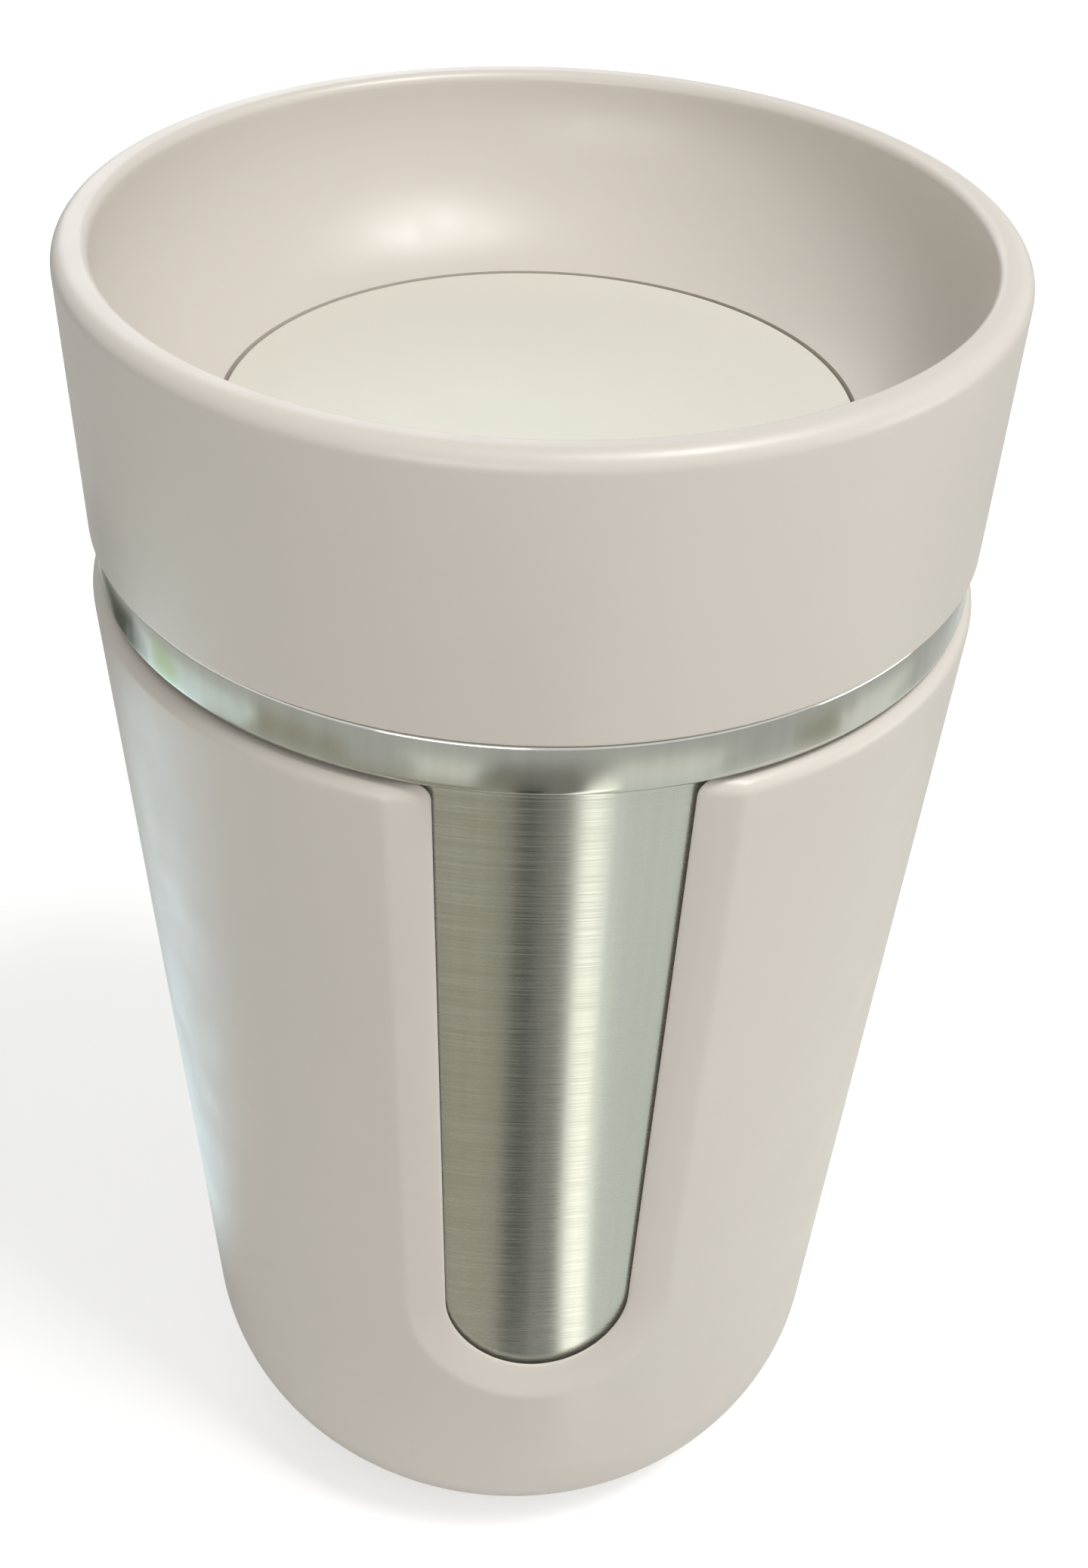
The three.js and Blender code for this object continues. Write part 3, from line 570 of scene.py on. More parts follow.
def moulding(name, colour, drift, roughness=0.36, grain=1.0):
    """Moulded plastic: a slow drift of tone, a fine spark-eroded grain and slight patches of gloss."""
    finish = Finish(name, roughness)
    cloud = finish.ranged(finish.noise(22.0, 3.0), 0.0, 1.0)
    grit = finish.noise(3600.0, 2.0)
    patch = finish.noise(160.0, 4.0)
    ripple = finish.bump(finish.noise(60.0, 1.0), 0.05, 0.0004)
    return finish.set(
        Base_Color=finish.blended(cloud, opaque(colour), opaque(drift)),
        Roughness=finish.ranged(patch, roughness - 0.04, roughness + 0.05),
        Normal=finish.bump(grit, 0.10 * grain, 0.00003, ripple),
        Specular_IOR_Level=0.5,
        Subsurface_Weight=0.06,
        Subsurface_Radius=(0.0012, 0.0008, 0.0006),
    )


def brushed_steel(name, colour, roughness, polished_from=None):
    """Steel turned on a lathe: hairlines round the axis, and a polished band above a height in metres."""
    finish = Finish(name, roughness, metallic=1.0)
    x, y, z = finish.axes()
    girth = finish.maths("ARCTAN2", y, x)

    def wrapped(girth_scale, height_scale):
        across = finish.maths("MULTIPLY", girth, girth_scale)
        up = finish.maths("MULTIPLY", z, height_scale)
        return finish.node("ShaderNodeCombineXYZ", {0: across, 1: up}).outputs[0]

    hairline = finish.noise(1.0, 3.0, wrapped(2.5, 5200.0))
    stain = finish.noise(1.0, 2.0, wrapped(26.0, 9.0))
    rough = finish.ranged(hairline, roughness - 0.06, roughness + 0.08)
    depth = 0.04
    if polished_from is not None:
        shine = finish.ranged(z, 1.0, 0.0, polished_from, polished_from + 0.0006)
        polish = finish.ranged(z, 0.0, 0.14, polished_from, polished_from + 0.0006)
        rough = finish.maths("ADD", finish.maths("MULTIPLY", rough, shine), polish)
        depth = finish.maths("MULTIPLY", shine, depth)
    tone = tuple(channel * 0.93 for channel in colour)
    return finish.set(
        Base_Color=finish.blended(finish.ranged(stain, 0.0, 1.0), opaque(colour), opaque(tone)),
        Roughness=rough,
        Anisotropic=0.8,
        Anisotropic_Rotation=0.25,
        Tangent=finish.node("ShaderNodeTangent", direction_type="RADIAL", axis="Z").outputs[0],
        Normal=finish.bump(hairline, depth, 0.00002),
    )


def soft_rubber(name, colour):
    """Silicone: a soft matte skin that takes a little dust."""
    finish = Finish(name, 0.6)
    dust = finish.ranged(finish.noise(240.0, 4.0), 0.0, 1.0)
    pale = tuple(min(1.0, channel * 1.08) for channel in colour)
    return finish.set(
        Base_Color=finish.blended(dust, opaque(colour), opaque(pale)),
        Roughness=finish.ranged(finish.noise(900.0, 2.0), 0.52, 0.68),
        Normal=finish.bump(finish.noise(2600.0, 2.0), 0.12, 0.00003),
        Sheen_Weight=0.15,
        Subsurface_Weight=0.12,
        Subsurface_Radius=(0.001, 0.0009, 0.0008),
    )


def plain_metal(name, colour, roughness):
    """Drawn wire and turned metal."""
    finish = Finish(name, roughness, metallic=1.0)
    drawn = finish.noise(1800.0, 3.0)
    tone = tuple(channel * 0.8 for channel in colour)
    return finish.set(
        Base_Color=finish.blended(finish.ranged(drawn, 0.0, 1.0), opaque(colour), opaque(tone)),
        Roughness=finish.ranged(drawn, roughness - 0.05, roughness + 0.1),
        Normal=finish.bump(drawn, 0.1, 0.00002),
    )


def finish_named(name):
    """A finish of the mug, made the first time that it is asked for."""
    known = bpy.data.materials.get(name)
    if known:
        return known
    colours = bpy.context.scene.mug_colours
    steel = tuple(colours.steel)
    makers = {
        "shell_moulding": lambda: moulding(name, colours.shell, colours.shell_drift),
        "disc_moulding": lambda: moulding(name, colours.disc, colours.disc_drift, 0.4, 0.7),
        "inner_moulding": lambda: moulding(name, colours.inner, colours.inner, 0.46, 0.8),
        "works_moulding": lambda: moulding(name, colours.works, colours.works, 0.4, 0.8),
        "collar_steel": lambda: brushed_steel(name, steel, 0.24, COLLAR_FOOT * METRE),
        "liner_steel": lambda: brushed_steel(name, steel, 0.34),
        "white_silicone": lambda: soft_rubber(name, colours.silicone),
        "foot_silicone": lambda: soft_rubber(name, colours.foot),
        "spring_wire": lambda: plain_metal(name, WIRE_TONE, 0.25),
        "getter_metal": lambda: plain_metal(name, GETTER_TONE, 0.55),
        "seal_resin": lambda: moulding(name, RESIN_TONE, RESIN_DRIFT, 0.3, 0.3),
    }
    return makers[name]()


def dress_node(node, finish):
    """Gives a solid that stays in view a finish."""
    materials = frame["nodes"][node].data.materials
    materials.clear()
    materials.append(finish_named(finish))


def window_edge(spread):
    """The window's edge spread out by a distance, from the middle of its foot up its right side."""
    half = WINDOW_FOOT_HALF + spread
    centre = WINDOW_FOOT + WINDOW_FOOT_HALF
    foot = [
        (half * math.sin(angle), centre - half * math.cos(angle))
        for angle in spaced(0, math.pi / 2, WINDOW_FOOT_STEPS)
    ]
    corner_foot = SLEEVE_TOP - WINDOW_CORNER
    side = [
        (WINDOW_FOOT_HALF + (WINDOW_TOP_HALF - WINDOW_FOOT_HALF) * share + spread,
         centre + (corner_foot - centre) * share)
        for share in spaced(0, 1, WINDOW_SIDE_STEPS)[1:]
    ]
    flare = [
        (WINDOW_TOP_HALF + spread + WINDOW_CORNER * (1 - math.cos(angle)),
         SLEEVE_TOP - WINDOW_CORNER * (1 - math.sin(angle)))
        for angle in spaced(0, math.pi / 2, WINDOW_CORNER_STEPS)[1:]
    ]
    return foot + side + flare


def panel_edge():
    """The upright panel that holds the window: its foot and right side, with the places of window_edge."""
    centre = WINDOW_FOOT + WINDOW_FOOT_HALF
    places = []
    for angle in spaced(0, math.pi / 2, WINDOW_FOOT_STEPS):
        if angle <= math.pi / 4 + SAME_POINT:
            places.append((PANEL_ANGLE * taper_radius(PANEL_FOOT) * math.tan(angle), PANEL_FOOT))
        else:
            height = centre + (PANEL_FOOT - centre) * math.tan(math.pi / 2 - angle)
            places.append((PANEL_ANGLE * taper_radius(height), height))
    heights = [height for _, height in window_edge(0)[len(places):]]
    return places + [(PANEL_ANGLE * taper_radius(height), height) for height in heights]


def both_sides(right):
    """A chain from the left top round the foot to the right top, from its right half."""
    return [(-along, height) for along, height in reversed(right[1:])] + right


def on_sleeve(chain, depth):
    """Lays a chain of girth and height on the sleeve's outside, sunk by the depth at each height."""
    points = []
    for along, height in chain:
        radius = taper_radius(height)
        reach = radius - depth(height) / math.cos(taper)
        angle = along / radius
        points.append(Vector((reach * math.sin(angle), -reach * math.cos(angle), height)))
    return points


def sleeve_rings(sizes):
    """Rings across the window's edge: the inner wall, the land, the soft bevel and the outer wall."""
    bevel = sizes.window_bevel / METRE
    soft = sizes.window_softness / METRE
    lip = sizes.lip_round / METRE
    deep = SLEEVE_WALL - WINDOW_LAND
    slope = deep / bevel

    def lip_depth(height):
        short = max(0.0, lip - (SLEEVE_TOP - height))
        return lip - math.sqrt(lip ** 2 - short ** 2)

    def bevel_depth(spread):
        inside = bevel - spread
        if abs(inside) < soft:
            return slope * (inside + soft) ** 2 / (4 * soft)
        return max(0.0, slope * inside)

    def shown(sunk):
        return lambda height: sunk + lip_depth(height) * (1 - sunk / SLEEVE_WALL)

    def hidden(height):
        return SLEEVE_WALL

    def ring(spread, depth):
        return on_sleeve(both_sides(window_edge(spread)), depth)

    far = bevel + soft + BEVEL_MARGIN
    panel = both_sides(panel_edge())
    rings = [on_sleeve(panel, hidden), ring(far, hidden), ring(1.2 * LAND_BREAK, hidden)]
    land = [
        (0.0, SLEEVE_WALL - LAND_BREAK),
        (0.0, deep + LAND_BREAK),
        (0.5 * LAND_BREAK, deep + 0.2 * LAND_BREAK),
        (1.5 * LAND_BREAK, bevel_depth(1.5 * LAND_BREAK) + 0.1 * LAND_BREAK),
    ]
    round_over = spaced(bevel - soft, bevel + soft, WINDOW_SOFT_STEPS)
    slopes = [(spread, bevel_depth(spread)) for spread in (*BEVEL_LINES, *round_over, far)]
    rings += [ring(spread, shown(sunk)) for spread, sunk in land + slopes]
    outer = both_sides(window_edge(far))
    for share in PANEL_LINES:
        chain = [
            (along + (panel_along - along) * share, height + (panel_height - height) * share)
            for (along, height), (panel_along, panel_height) in zip(outer, panel)
        ]
        rings.append(on_sleeve(chain, shown(0.0)))
    return rings


def sleeve_mesh(sizes):
    """The sleeve: a panel lofted round the window, spun round the back, then grown down over the base."""
    mesh = bmesh.new()
    made = loft(mesh, sleeve_rings(sizes))
    inner, outer = made[0], made[-1]
    corner = len(inner) // 2 + WINDOW_FOOT_STEPS // 2
    top_edges = [mesh.edges.new((inner[end], outer[end])) for end in (0, -1)]
    upright = [
        mesh.edges.get(pair)
        for side in (inner, outer)
        for pair in zip(side[corner:], side[corner + 1:])
    ]
    upright.append(top_edges[1])
    for end, closing in ((0, top_edges[0]), (-1, top_edges[1])):
        rim = [mesh.edges.get((a[end], b[end])) for a, b in zip(made, made[1:])]
        bmesh.ops.contextual_create(mesh, geom=rim + [closing])
    back_steps = int(sizes.girth_steps * BACK_STEPS_SHARE)
    spin_round(mesh, 2 * (math.pi - PANEL_ANGLE), back_steps, geom=upright)
    bmesh.ops.remove_doubles(mesh, verts=mesh.verts, dist=SAME_POINT)
    level = [
        e for e in mesh.edges
        if e.is_boundary and all(abs(v.co.z - PANEL_FOOT) < SAME_POINT for v in e.verts)
    ]
    middle = taper_radius(PANEL_FOOT, SLEEVE_WALL / 2)
    outside = [e for e in level if e.verts[0].co.xy.length > middle]
    inside = [e for e in level if e.verts[0].co.xy.length < middle]
    groove_top = FOOT_TOP + FIT
    groove_outer = FOOT_OUTER + FIT
    groove_inner = FOOT_INNER - FIT
    underside = [
        (groove_outer, SLEEVE_FOOT), (groove_outer, groove_top), (groove_inner, groove_top),
        (groove_inner, SLEEVE_FOOT), (0.0, SLEEVE_FOOT),
    ]
    grow_loop(mesh, outside, base_curve(0.0)[::-1] + underside)
    floor = base_curve(SLEEVE_WALL)[::-1]
    grow_loop(mesh, inside, floor + [(0.0, floor[-1][1])])
    close_up(mesh)
    return mesh


class MUG_OT_sleeve(bpy.types.Operator):
    """Moulded sleeve with its bevelled window, and the foot ring under it"""

    bl_idname = "mug.sleeve"
    bl_label = "Sleeve and foot ring"

    def execute(self, context):
        sizes = context.scene.mug_sizes
        finish_piece(
            sleeve_mesh(sizes), "sleeve_moulding", "cup", "shell_moulding", ["outer_sleeve"],
            sharp=24)
        finish_piece(
            self.foot_ring(sizes.inner_steps), "foot_tread", "cup", "foot_silicone",
            ["foot_ring"])
        return {"FINISHED"}

    def foot_ring(self, steps):
        """Ring with grooves round its underside."""
        tread = []
        for groove in TREAD_GROOVES:
            start, end = (FOOT_INNER + (FOOT_OUTER - FOOT_INNER) * share for share in groove)
            tread += [
                (start, 0.0, *TREAD_EDGE),
                (start, GROOVE_DEPTH, *GROOVE_EDGE),
                (end, GROOVE_DEPTH, *GROOVE_EDGE),
                (end, 0.0, *TREAD_EDGE),
            ]
        return turned([
            (FOOT_INNER, 0.0, *FOOT_EDGE),
            *tread,
            (FOOT_OUTER, 0.0, *FOOT_EDGE),
            (FOOT_OUTER, FOOT_TOP),
            (FOOT_INNER, FOOT_TOP),
        ], steps)


def thread_ridge(root, crest, widths, turn, foot, lead):
    """One start of a screw thread, swept up a right-hand helix, with run-outs at both ends."""
    mesh = bmesh.new()
    root_half, crest_half = (width / 2 for width in widths)
    section = [(root, -root_half), (crest, -crest_half), (crest, crest_half), (root, root_half)]
    corners = [mesh.verts.new((radius, 0.0, height)) for radius, height in section]
    mesh.faces.new(corners)
    bmesh.ops.bevel(
        mesh, geom=corners[1:3], offset=abs(crest - root) * THREAD_CREST_ROUND, offset_type="OFFSET",
        affect="VERTICES", segments=3, profile=0.5, material=-1)
    bmesh.ops.rotate(mesh, verts=mesh.verts, cent=(0, 0, 0), matrix=Matrix.Rotation(turn, 3, "Z"))
    bmesh.ops.translate(mesh, verts=mesh.verts, vec=(0, 0, foot))
    spin_round(mesh, THREAD_SWEEP, THREAD_STEPS, lead * THREAD_SWEEP / (2 * math.pi))
    gap = 2 * math.pi - THREAD_SWEEP
    for vert in mesh.verts:
        along = (math.atan2(vert.co.y, vert.co.x) - turn + gap / 2) % (2 * math.pi) - gap / 2
        share = min(along, THREAD_SWEEP - along) / THREAD_RUN_OUT
        share = min(1.0, max(0.0, share))
        full = max(THREAD_END_SHARE, share * share * (3 - 2 * share))
        radius = vert.co.xy.length
        vert.co.xy *= (root + (radius - root) * full) / radius
    close_up(mesh)
    return mesh


def screw_thread(wall, depth, widths, turn, foot, lead):
    """A thread whose ridges stand out of a wall by a depth, or into a bore where the depth is negative."""
    root = wall - math.copysign(THREAD_SINK, depth)
    turns = [turn + 2 * math.pi * start / THREAD_STARTS for start in range(THREAD_STARTS)]
    return joined(*(thread_ridge(root, wall + depth, widths, start, foot, lead) for start in turns))


class MUG_OT_flask(bpy.types.Operator):
    """Steel flask: the outer wall with its collar, the liner with its thread, and the dished bases"""

    bl_idname = "mug.flask"
    bl_label = "Steel flask"

    def execute(self, context):
        sizes = context.scene.mug_sizes
        self.outer_wall(sizes.girth_steps)
        self.liner(sizes.girth_steps)
        self.bases(sizes.inner_steps)
        self.thread(sizes.thread_lead / METRE)
        dress_node("vacuum_seal", "seal_resin")
        dress_node("getter_pellet", "getter_metal")
        return {"FINISHED"}

    def outer_wall(self, steps):
        inner_inset = wall_inset + OUTER_STEEL
        bore = COLLAR_RADIUS - OUTER_STEEL
        shoulder = COLLAR_FOOT + OUTER_STEEL
        weld = base_top(inner_inset) + FIT
        wall = turned([
            (taper_radius(weld, wall_inset), weld),
            (taper_radius(COLLAR_FOOT, wall_inset), COLLAR_FOOT, *COLLAR_ROOT),
            (COLLAR_RADIUS, COLLAR_FOOT, *COLLAR_FOOT_EDGE),
            (COLLAR_RADIUS, MOUTH_TOP, *COLLAR_TOP_EDGE),
            (bore, MOUTH_TOP),
            (bore, shoulder),
            (taper_radius(shoulder, inner_inset), shoulder),
            (taper_radius(weld, inner_inset), weld),
        ], steps)
        finish_piece(wall, "steel_wall", "cup", "collar_steel", ["flask_outer_wall"])

    def liner(self, steps):
        inner_inset = liner_inset + LINER_STEEL
        lip = COLLAR_RADIUS - OUTER_STEEL - FIT
        lip_foot = MOUTH_TOP - OUTER_STEEL
        step = NECK_FOOT - NECK_STEP
        weld = base_top(inner_inset) + FIT
        outside = MOUTH_RADIUS + LINER_STEEL
        wall = turned([
            (taper_radius(weld, liner_inset), weld),
            (taper_radius(step, liner_inset), step, *NECK_OUTER_BEND),
            (outside, NECK_FOOT, *NECK_OUTER_BEND),
            (outside, lip_foot, *EDGE),
            (lip, lip_foot),
            (lip, MOUTH_TOP, *LIP_EDGE),
            (MOUTH_RADIUS, MOUTH_TOP, *MOUTH_EDGE),
            (MOUTH_RADIUS, NECK_FOOT, *NECK_INNER_BEND),
            (taper_radius(step, inner_inset), step, *NECK_INNER_BEND),
            (taper_radius(weld, inner_inset), weld),
        ], steps)
        finish_piece(wall, "liner_wall", "cup", "liner_steel", ["flask_liner"])

    def bases(self, steps):
        for name, node, inset, sheet, rise in (
            ("base_dish", "flask_base", wall_inset, OUTER_STEEL, DIMPLE_RISE),
            ("floor_dish", "liner_floor", liner_inset, LINER_STEEL, 0.0),
        ):
            foot = SLEEVE_FOOT + inset
            below = [(0.0, foot)]
            above = [(0.0, foot + sheet)]
            if rise:
                slope = DIMPLE_RADIUS + DIMPLE_SLOPE
                below = [
                    (0.0, foot + rise),
                    (DIMPLE_RADIUS, foot + rise, *DIMPLE_TOP_BEND),
                    (slope, foot, *DIMPLE_FOOT_BEND),
                ]
                above = [
                    (slope, foot + sheet, *DIMPLE_FOOT_BEND),
                    (DIMPLE_RADIUS, foot + sheet + rise, *DIMPLE_TOP_BEND),
                    (0.0, foot + sheet + rise),
                ]
            profile = below + base_curve(inset) + base_curve(inset + sheet)[::-1] + above
            finish_piece(
                turned(profile, steps, closed=False), name, "cup", "liner_steel", [node])

    def thread(self, lead):
        thread = screw_thread(
            MOUTH_RADIUS, -MOUTH_THREAD_DEPTH, MOUTH_THREAD_WIDTHS, MOUTH_THREAD_TURN, MOUTH_THREAD_FOOT,
            lead)
        finish_piece(thread, "mouth_thread", "cup", "liner_steel")


def under_bowl(radius, centre, arc):
    """Height of the underside of the bowl at a radius."""
    return centre.y - math.sqrt((arc + BOWL_WALL) ** 2 - (radius - centre.x) ** 2)


def bowl_arc(rim_round):
    """Centre and radius of the bowl's arc, upright under the rim and ending at the throat."""
    top = RIM_TOP - rim_round
    radius = RIM_RADIUS - 2 * rim_round
    across = radius - THROAT_RADIUS
    arc = (across ** 2 + (top - BUTTON_TOP) ** 2) / (2 * across)
    return Vector((radius - arc, top)), arc


class MUG_OT_lid(bpy.types.Operator):
    """Screw lid: the shell with its bowl and rim, the threaded plug and the gasket"""

    bl_idname = "mug.lid"
    bl_label = "Screw lid"

    def execute(self, context):
        sizes = context.scene.mug_sizes
        rim_round = sizes.rim_round / METRE
        centre, arc = bowl_arc(rim_round)
        self.shell(sizes.girth_steps, rim_round, sizes.rim_inner_round / METRE, centre, arc)
        self.plug(sizes.girth_steps, centre, arc)
        self.thread(sizes.thread_lead / METRE)
        self.gasket(sizes.inner_steps)
        return {"FINISHED"}

    def shell(self, steps, rim_round, inner_round, centre, arc):
        turn = math.asin((centre.y - BUTTON_TOP) / arc)
        reach = arc * math.tan(turn / 2)
        bowl = centre.x + arc
        under = [
            (radius, under_bowl(radius, centre, arc))
            for radius in spaced(SEAT_RADIUS, LID_HOLLOW, UNDER_BOWL_STEPS)
        ]
        shell = turned([
            (LID_FOOT_RADIUS, LID_FOOT, *LID_FOOT_EDGE),
            (RIM_RADIUS, RIM_TOP, rim_round, RIM_SEGMENTS),
            (bowl, RIM_TOP, inner_round, INNER_RIM_SEGMENTS),
            (bowl, centre.y - reach, arc, BOWL_SEGMENTS),
            (THROAT_RADIUS, BUTTON_TOP, *THROAT_EDGE),
            (THROAT_RADIUS, SEAT_HEIGHT, *SEAT_EDGE),
            (SEAT_RADIUS, SEAT_HEIGHT),
            *under,
            (LID_HOLLOW, LID_FOOT, *EDGE),
        ], steps)
        finish_piece(shell, "lid_moulding", "lid", "shell_moulding", ["lid_shell"])

    def plug(self, steps, centre, arc):
        flange_top = FLANGE_FOOT + FLANGE_THICK
        plug = turned([
            (LEDGE_RADIUS, PLUG_FOOT, *EDGE),
            (PLUG_RADIUS, PLUG_FOOT, *PLUG_FOOT_EDGE),
            (PLUG_RADIUS, FLANGE_FOOT, *FLANGE_ROOT),
            (FLANGE_RADIUS, FLANGE_FOOT, *EDGE),
            (FLANGE_RADIUS, flange_top, *EDGE),
            (PLUG_RADIUS, flange_top),
            (PLUG_RADIUS, under_bowl(PLUG_RADIUS, centre, arc) - FIT),
            (CHAMBER_RADIUS, under_bowl(CHAMBER_RADIUS, centre, arc) - FIT),
            (CHAMBER_RADIUS, LEDGE_TOP),
            (LEDGE_RADIUS, LEDGE_TOP, *EDGE),
        ], steps)
        finish_piece(plug, "plug_moulding", "lid", "inner_moulding", ["lid_plug"])

    def thread(self, lead):
        thread = screw_thread(
            PLUG_RADIUS, PLUG_THREAD_DEPTH, PLUG_THREAD_WIDTHS, PLUG_THREAD_TURN, PLUG_THREAD_FOOT, lead)
        finish_piece(thread, "plug_thread", "lid", "inner_moulding")

    def gasket(self, steps):
        dip = GASKET_FOOT + RIB_HEIGHT
        first, first_end, second, second_end = (GASKET_INNER + edge for rib in GASKET_RIBS for edge in rib)
        ring = turned([
            (GASKET_INNER, dip, *RIB_EDGE),
            (first - RIB_FLANK, dip, *RIB_ROOT),
            (first, GASKET_FOOT, *RIB_EDGE),
            (first_end, GASKET_FOOT, *RIB_EDGE),
            (first_end + RIB_FLANK, dip, *RIB_ROOT),
            (second - RIB_FLANK, dip, *RIB_ROOT),
            (second, GASKET_FOOT, *RIB_EDGE),
            (second_end, GASKET_FOOT, *RIB_EDGE),
            (GASKET_OUTER, dip, *RIB_EDGE),
            (GASKET_OUTER, GASKET_TOP, *EDGE),
            (GASKET_INNER, GASKET_TOP, *EDGE),
        ], steps)
        finish_piece(ring, "gasket_ring", "lid_seal", "white_silicone", ["lid_gasket"])


class MUG_OT_valve(bpy.types.Operator):
    """Valve in the plug: the cage, the return spring, and the ratchet's small pieces"""

    bl_idname = "mug.valve"
    bl_label = "Valve works"

    def execute(self, context):
        self.spring()
        dress_node("valve_cage", "works_moulding")
        dress_node("plunger", "works_moulding")
        dress_node("ratchet_rotor", "inner_moulding")
        dress_node("rotor_washer", "spring_wire")
        dress_node("end_screw", "spring_wire")
        return {"FINISHED"}

    def spring(self):
        mesh = bmesh.new()
        wire = bmesh.ops.create_circle(
            mesh, radius=SPRING_WIRE / 2, segments=SPRING_SIDES, cap_ends=True)["verts"]
        bmesh.ops.rotate(mesh, verts=wire, cent=(0, 0, 0), matrix=Matrix.Rotation(math.pi / 2, 3, "X"))
        bmesh.ops.translate(mesh, verts=wire, vec=(SPRING_RADIUS, 0, SPRING_FOOT + SPRING_WIRE / 2))
        steps = int(SPRING_TURNS * SPRING_TURN_STEPS)
        length = SPRING_TOP - SPRING_FOOT
        spin_round(mesh, SPRING_TURNS * 2 * math.pi, steps, length - SPRING_WIRE)
        close_up(mesh)
        piece = finish_piece(
            mesh, "valve_spring", "lid", "spring_wire", ["return_spring"])
        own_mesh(piece)


class MUG_OT_button(bpy.types.Operator):
    """Press disc in the bowl, its carrier and the valve seal between them"""

    bl_idname = "mug.button"
    bl_label = "Press button"

    def execute(self, context):
        sizes = context.scene.mug_sizes
        skirt_inner = SKIRT_RADIUS - SKIRT_WALL
        disc = turned([
            (0.0, BUTTON_FOOT),
            (skirt_inner, BUTTON_FOOT, *SKIRT_ROOT),
            (skirt_inner, SKIRT_FOOT, *EDGE),
            (SKIRT_RADIUS, SKIRT_FOOT, *EDGE),
            (SKIRT_RADIUS, BUTTON_FOOT, *EDGE),
            (BUTTON_RADIUS, BUTTON_FOOT, *EDGE),
            (BUTTON_RADIUS, BUTTON_TOP, *DISC_EDGE),
            (0.0, BUTTON_TOP),
        ], sizes.girth_steps, closed=False)
        finish_piece(disc, "press_disc", "button", "disc_moulding", ["button_disc"])
        lip_inner = SEAL_RADIUS - SEAL_LIP
        seal = turned([
            (SEAL_INNER, SEAL_FOOT, *EDGE),
            (lip_inner, SEAL_FOOT, *SEAL_BEND),
            (SEAL_RADIUS, SEAL_TOP - SEAL_TIP_THICK, *SEAL_BEND),
            (SEAL_RADIUS, SEAL_TOP, *SEAL_TIP),
            (lip_inner, SEAL_TOP, *SEAL_TIP_INNER),
            (lip_inner - SEAL_LIP / 2, SEAL_FOOT + SEAL_THICK, *SEAL_BEND),
            (SEAL_INNER, SEAL_FOOT + SEAL_THICK, *EDGE),
        ], sizes.inner_steps)
        finish_piece(seal, "valve_lip", "button", "white_silicone", ["valve_seal"])
        dress_node("button_carrier", "inner_moulding")
        return {"FINISHED"}


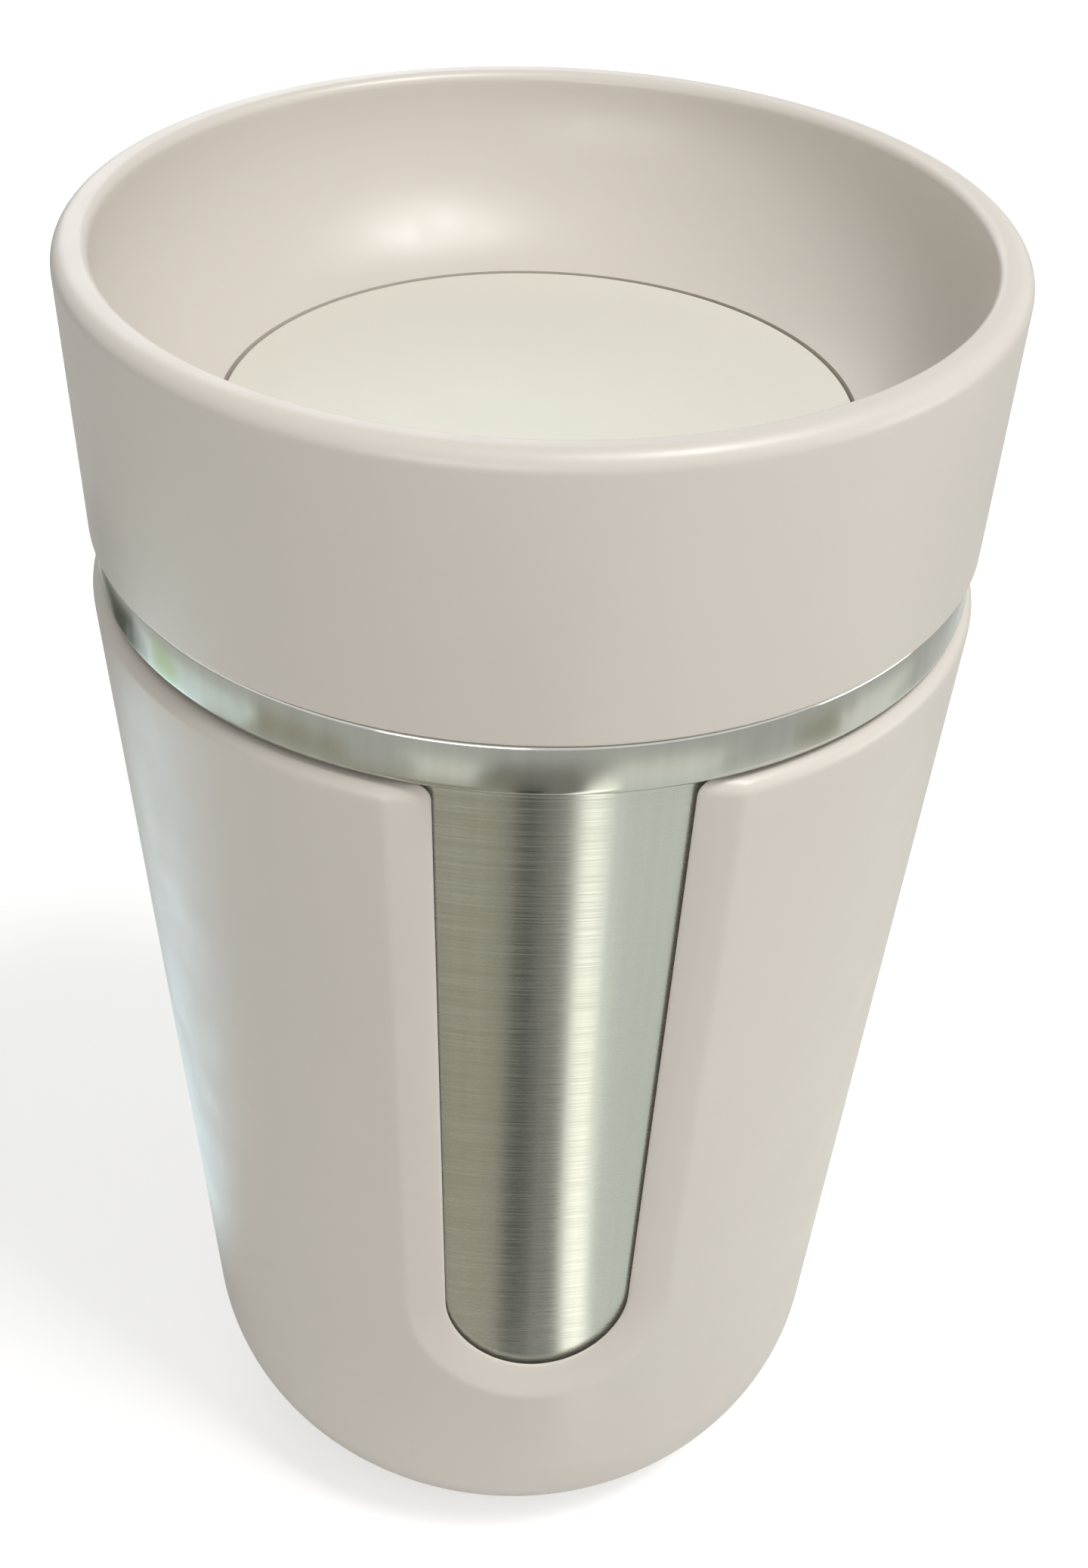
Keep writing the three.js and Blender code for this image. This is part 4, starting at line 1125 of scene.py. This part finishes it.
class MUG_OT_stage(bpy.types.Operator):
    """Pale floor, soft lamps, surround and camera"""

    bl_idname = "mug.stage"
    bl_label = "Studio"

    def execute(self, context):
        studio = context.scene.mug_studio
        self.floor(studio)
        self.painted_reflections()
        for name, (place, aim, sides, colour) in LAMPS.items():
            self.lamp(name + "_lamp", getattr(studio, name + "_power"), place, aim, sides, colour)
        self.surround(context.scene, studio)
        self.camera(context.scene, studio)
        context.scene.view_settings.view_transform = "Standard"
        return {"FINISHED"}

    def floor(self, studio):
        mesh = bmesh.new()
        bmesh.ops.create_circle(mesh, cap_ends=True, radius=FLOOR_RADIUS, segments=FLOOR_SIDES)
        finish = Finish("floor_paper", 0.9)
        cloth = finish.noise(3.0, 2.0)
        pale = tuple(studio.floor)
        seen = finish.node("ShaderNodeLightPath").outputs["Is Camera Ray"]
        lift = finish.ranged(finish.reach(), studio.floor_lift, studio.floor_far_lift, *FLOOR_LIFT_REACH)
        paper = finish.set(
            Base_Color=finish.blended(cloth, opaque(pale), opaque(tuple(c * 0.99 for c in pale))),
            Specular_IOR_Level=0.0,
            Emission_Color=(1.0, 1.0, 1.0, 1.0),
            Emission_Strength=finish.maths("MULTIPLY", seen, lift),
        )
        floor = placed(mesh, "studio_floor", paper)

    def painted_reflections(self):
        """Glowing cards laid in a ring on the floor that only show to glossy rays: painted reflections, dark
        and bright, in the steel and the gloss.
        """
        mesh = bmesh.new()
        bmesh.ops.create_circle(mesh, cap_ends=False, radius=CARDS_INNER, segments=CARDS_SIDES)
        outer = bmesh.ops.extrude_edge_only(mesh, edges=mesh.edges[:])["geom"]
        verts = [item for item in outer if isinstance(item, bmesh.types.BMVert)]
        widen = CARDS_OUTER / CARDS_INNER
        bmesh.ops.scale(mesh, vec=(widen, widen, 1), verts=verts)
        bmesh.ops.translate(mesh, vec=(0, 0, CARDS_HEIGHT), verts=mesh.verts)
        finish = Finish("reflector_paint", 1.0)
        x, y, _ = finish.axes()
        reach = finish.reach()
        wander = finish.ranged(finish.noise(28.0, 2.0), -0.10, 0.10)
        turn = finish.maths("ARCTAN2", x, finish.maths("MULTIPLY", y, -1.0))
        near = self.card_tones(finish, turn, NEAR_CARDS)
        far = self.card_tones(finish, finish.maths("ADD", turn, wander), FAR_CARDS)
        tone = finish.blended(finish.ranged(reach, 0.0, 1.0, *NEAR_END), near, far)
        tone = finish.blended(finish.ranged(reach, 0.0, 1.0, *FAR_END), tone, opaque(CARD_TONES["mid"]))
        # The cards glow with these tones and are unseen by camera, diffuse and shadow rays: painted
        # reflections, dark bands and bright glints, in the steel and the gloss
        glow = finish.node("ShaderNodeEmission", {"Color": tone, "Strength": 1.0})
        out = finish.tree.nodes["Material Output"].inputs["Surface"]
        finish.tree.links.new(glow.outputs[0], out)
        cards = placed(mesh, "reflector_cards", finish.material)
        for ray in ("camera", "diffuse", "shadow", "transmission", "volume_scatter"):
            setattr(cards, "visible_" + ray, False)

    def card_tones(self, finish, turn, cards):
        """Glow colours of the painted reflections round the axis, from a ring of cards which blend into each
        other over the gaps.
        """
        ramp = finish.node("ShaderNodeValToRGB", {0: finish.ranged(turn, 0.0, 1.0, -math.pi, math.pi)})
        stops = ramp.color_ramp.elements
        for tone, start, end in cards:
            for degrees in (start, end):
                place = (degrees + 180) / 360
                stop = stops[int(place)] if place in (0, 1) else stops.new(place)
                stop.color = opaque(CARD_TONES[tone])
        return ramp.outputs[0]

    def lamp(self, name, power, place, aim, sides, colour):
        data = bpy.data.lights.new(name, "AREA")
        data.energy = power
        data.shape = "RECTANGLE"
        data.size, data.size_y = sides
        data.color = colour
        lamp = bpy.data.objects.new(name, data)
        lamp.location = place
        lamp.visible_camera = False
        lamp.rotation_euler = (Vector(aim) - Vector(place)).to_track_quat("-Z", "Y").to_euler()
        bpy.context.scene.collection.objects.link(lamp)

    def surround(self, scene, studio):
        world = bpy.data.worlds.new("studio_surround")
        world.use_nodes = True
        tree = world.node_tree
        background = tree.nodes["Background"]
        background.inputs["Color"].default_value = (1.0, 1.0, 1.0, 1.0)
        path = tree.nodes.new("ShaderNodeLightPath")
        shown = path.outputs["Is Camera Ray"]
        for ray in ("Is Glossy Ray", "Is Transmission Ray"):
            either = tree.nodes.new("ShaderNodeMath")
            either.operation = "MAXIMUM"
            tree.links.new(shown, either.inputs[0])
            tree.links.new(path.outputs[ray], either.inputs[1])
            shown = either.outputs[0]
        level = tree.nodes.new("ShaderNodeMapRange")
        level.inputs["To Min"].default_value = studio.world_level
        level.inputs["To Max"].default_value = 1.0
        tree.links.new(shown, level.inputs["Value"])
        tree.links.new(level.outputs[0], background.inputs["Strength"])
        scene.world = world

    def camera(self, scene, studio):
        data = bpy.data.cameras.new("mug_camera")
        data.lens = studio.lens
        data.sensor_width = 36.0
        data.clip_start = 0.01
        camera = bpy.data.objects.new("mug_camera", data)
        camera.location = studio.camera_place
        look = Vector(studio.camera_aim) - Vector(studio.camera_place)
        level = look.to_track_quat("-Z", "Y").to_matrix().to_4x4()
        camera.matrix_world = (
            Matrix.Translation(studio.camera_place) @ level @ Matrix.Rotation(studio.camera_roll, 4, "Z"))
        scene.collection.objects.link(camera)
        scene.camera = camera


class MUG_PT_panel(bpy.types.Panel):
    """The mug's pieces and sizes"""

    bl_idname = "MUG_PT_panel"
    bl_label = "Travel mug"
    bl_space_type = "VIEW_3D"
    bl_region_type = "UI"
    bl_category = "Mug"

    def draw(self, context):
        for group in ("mug_sizes", "mug_colours", "mug_studio"):
            values = getattr(context.scene, group)
            box = self.layout.box()
            for key in values.bl_rna.properties.keys():
                if key not in ("rna_type", "name"):
                    box.prop(values, key)
        for operator in OPERATORS:
            self.layout.operator(operator.bl_idname)


OPERATORS = (MUG_OT_sleeve, MUG_OT_flask, MUG_OT_lid, MUG_OT_valve, MUG_OT_button, MUG_OT_stage)
GROUPS = {"mug_sizes": MugSizes, "mug_colours": MugColours, "mug_studio": MugStudio}


def register():
    for made in (*GROUPS.values(), *OPERATORS, MUG_PT_panel):
        bpy.utils.register_class(made)
    for name, group in GROUPS.items():
        setattr(bpy.types.Scene, name, PointerProperty(type=group))


def unregister():
    for name in GROUPS:
        delattr(bpy.types.Scene, name)
    for made in reversed((*GROUPS.values(), *OPERATORS, MUG_PT_panel)):
        bpy.utils.unregister_class(made)


def main():
    register()
    bpy.ops.mug.sleeve()
    bpy.ops.mug.flask()
    bpy.ops.mug.lid()
    bpy.ops.mug.valve()
    bpy.ops.mug.button()
    bpy.ops.mug.stage()


if __name__ == "__main__":
    main()
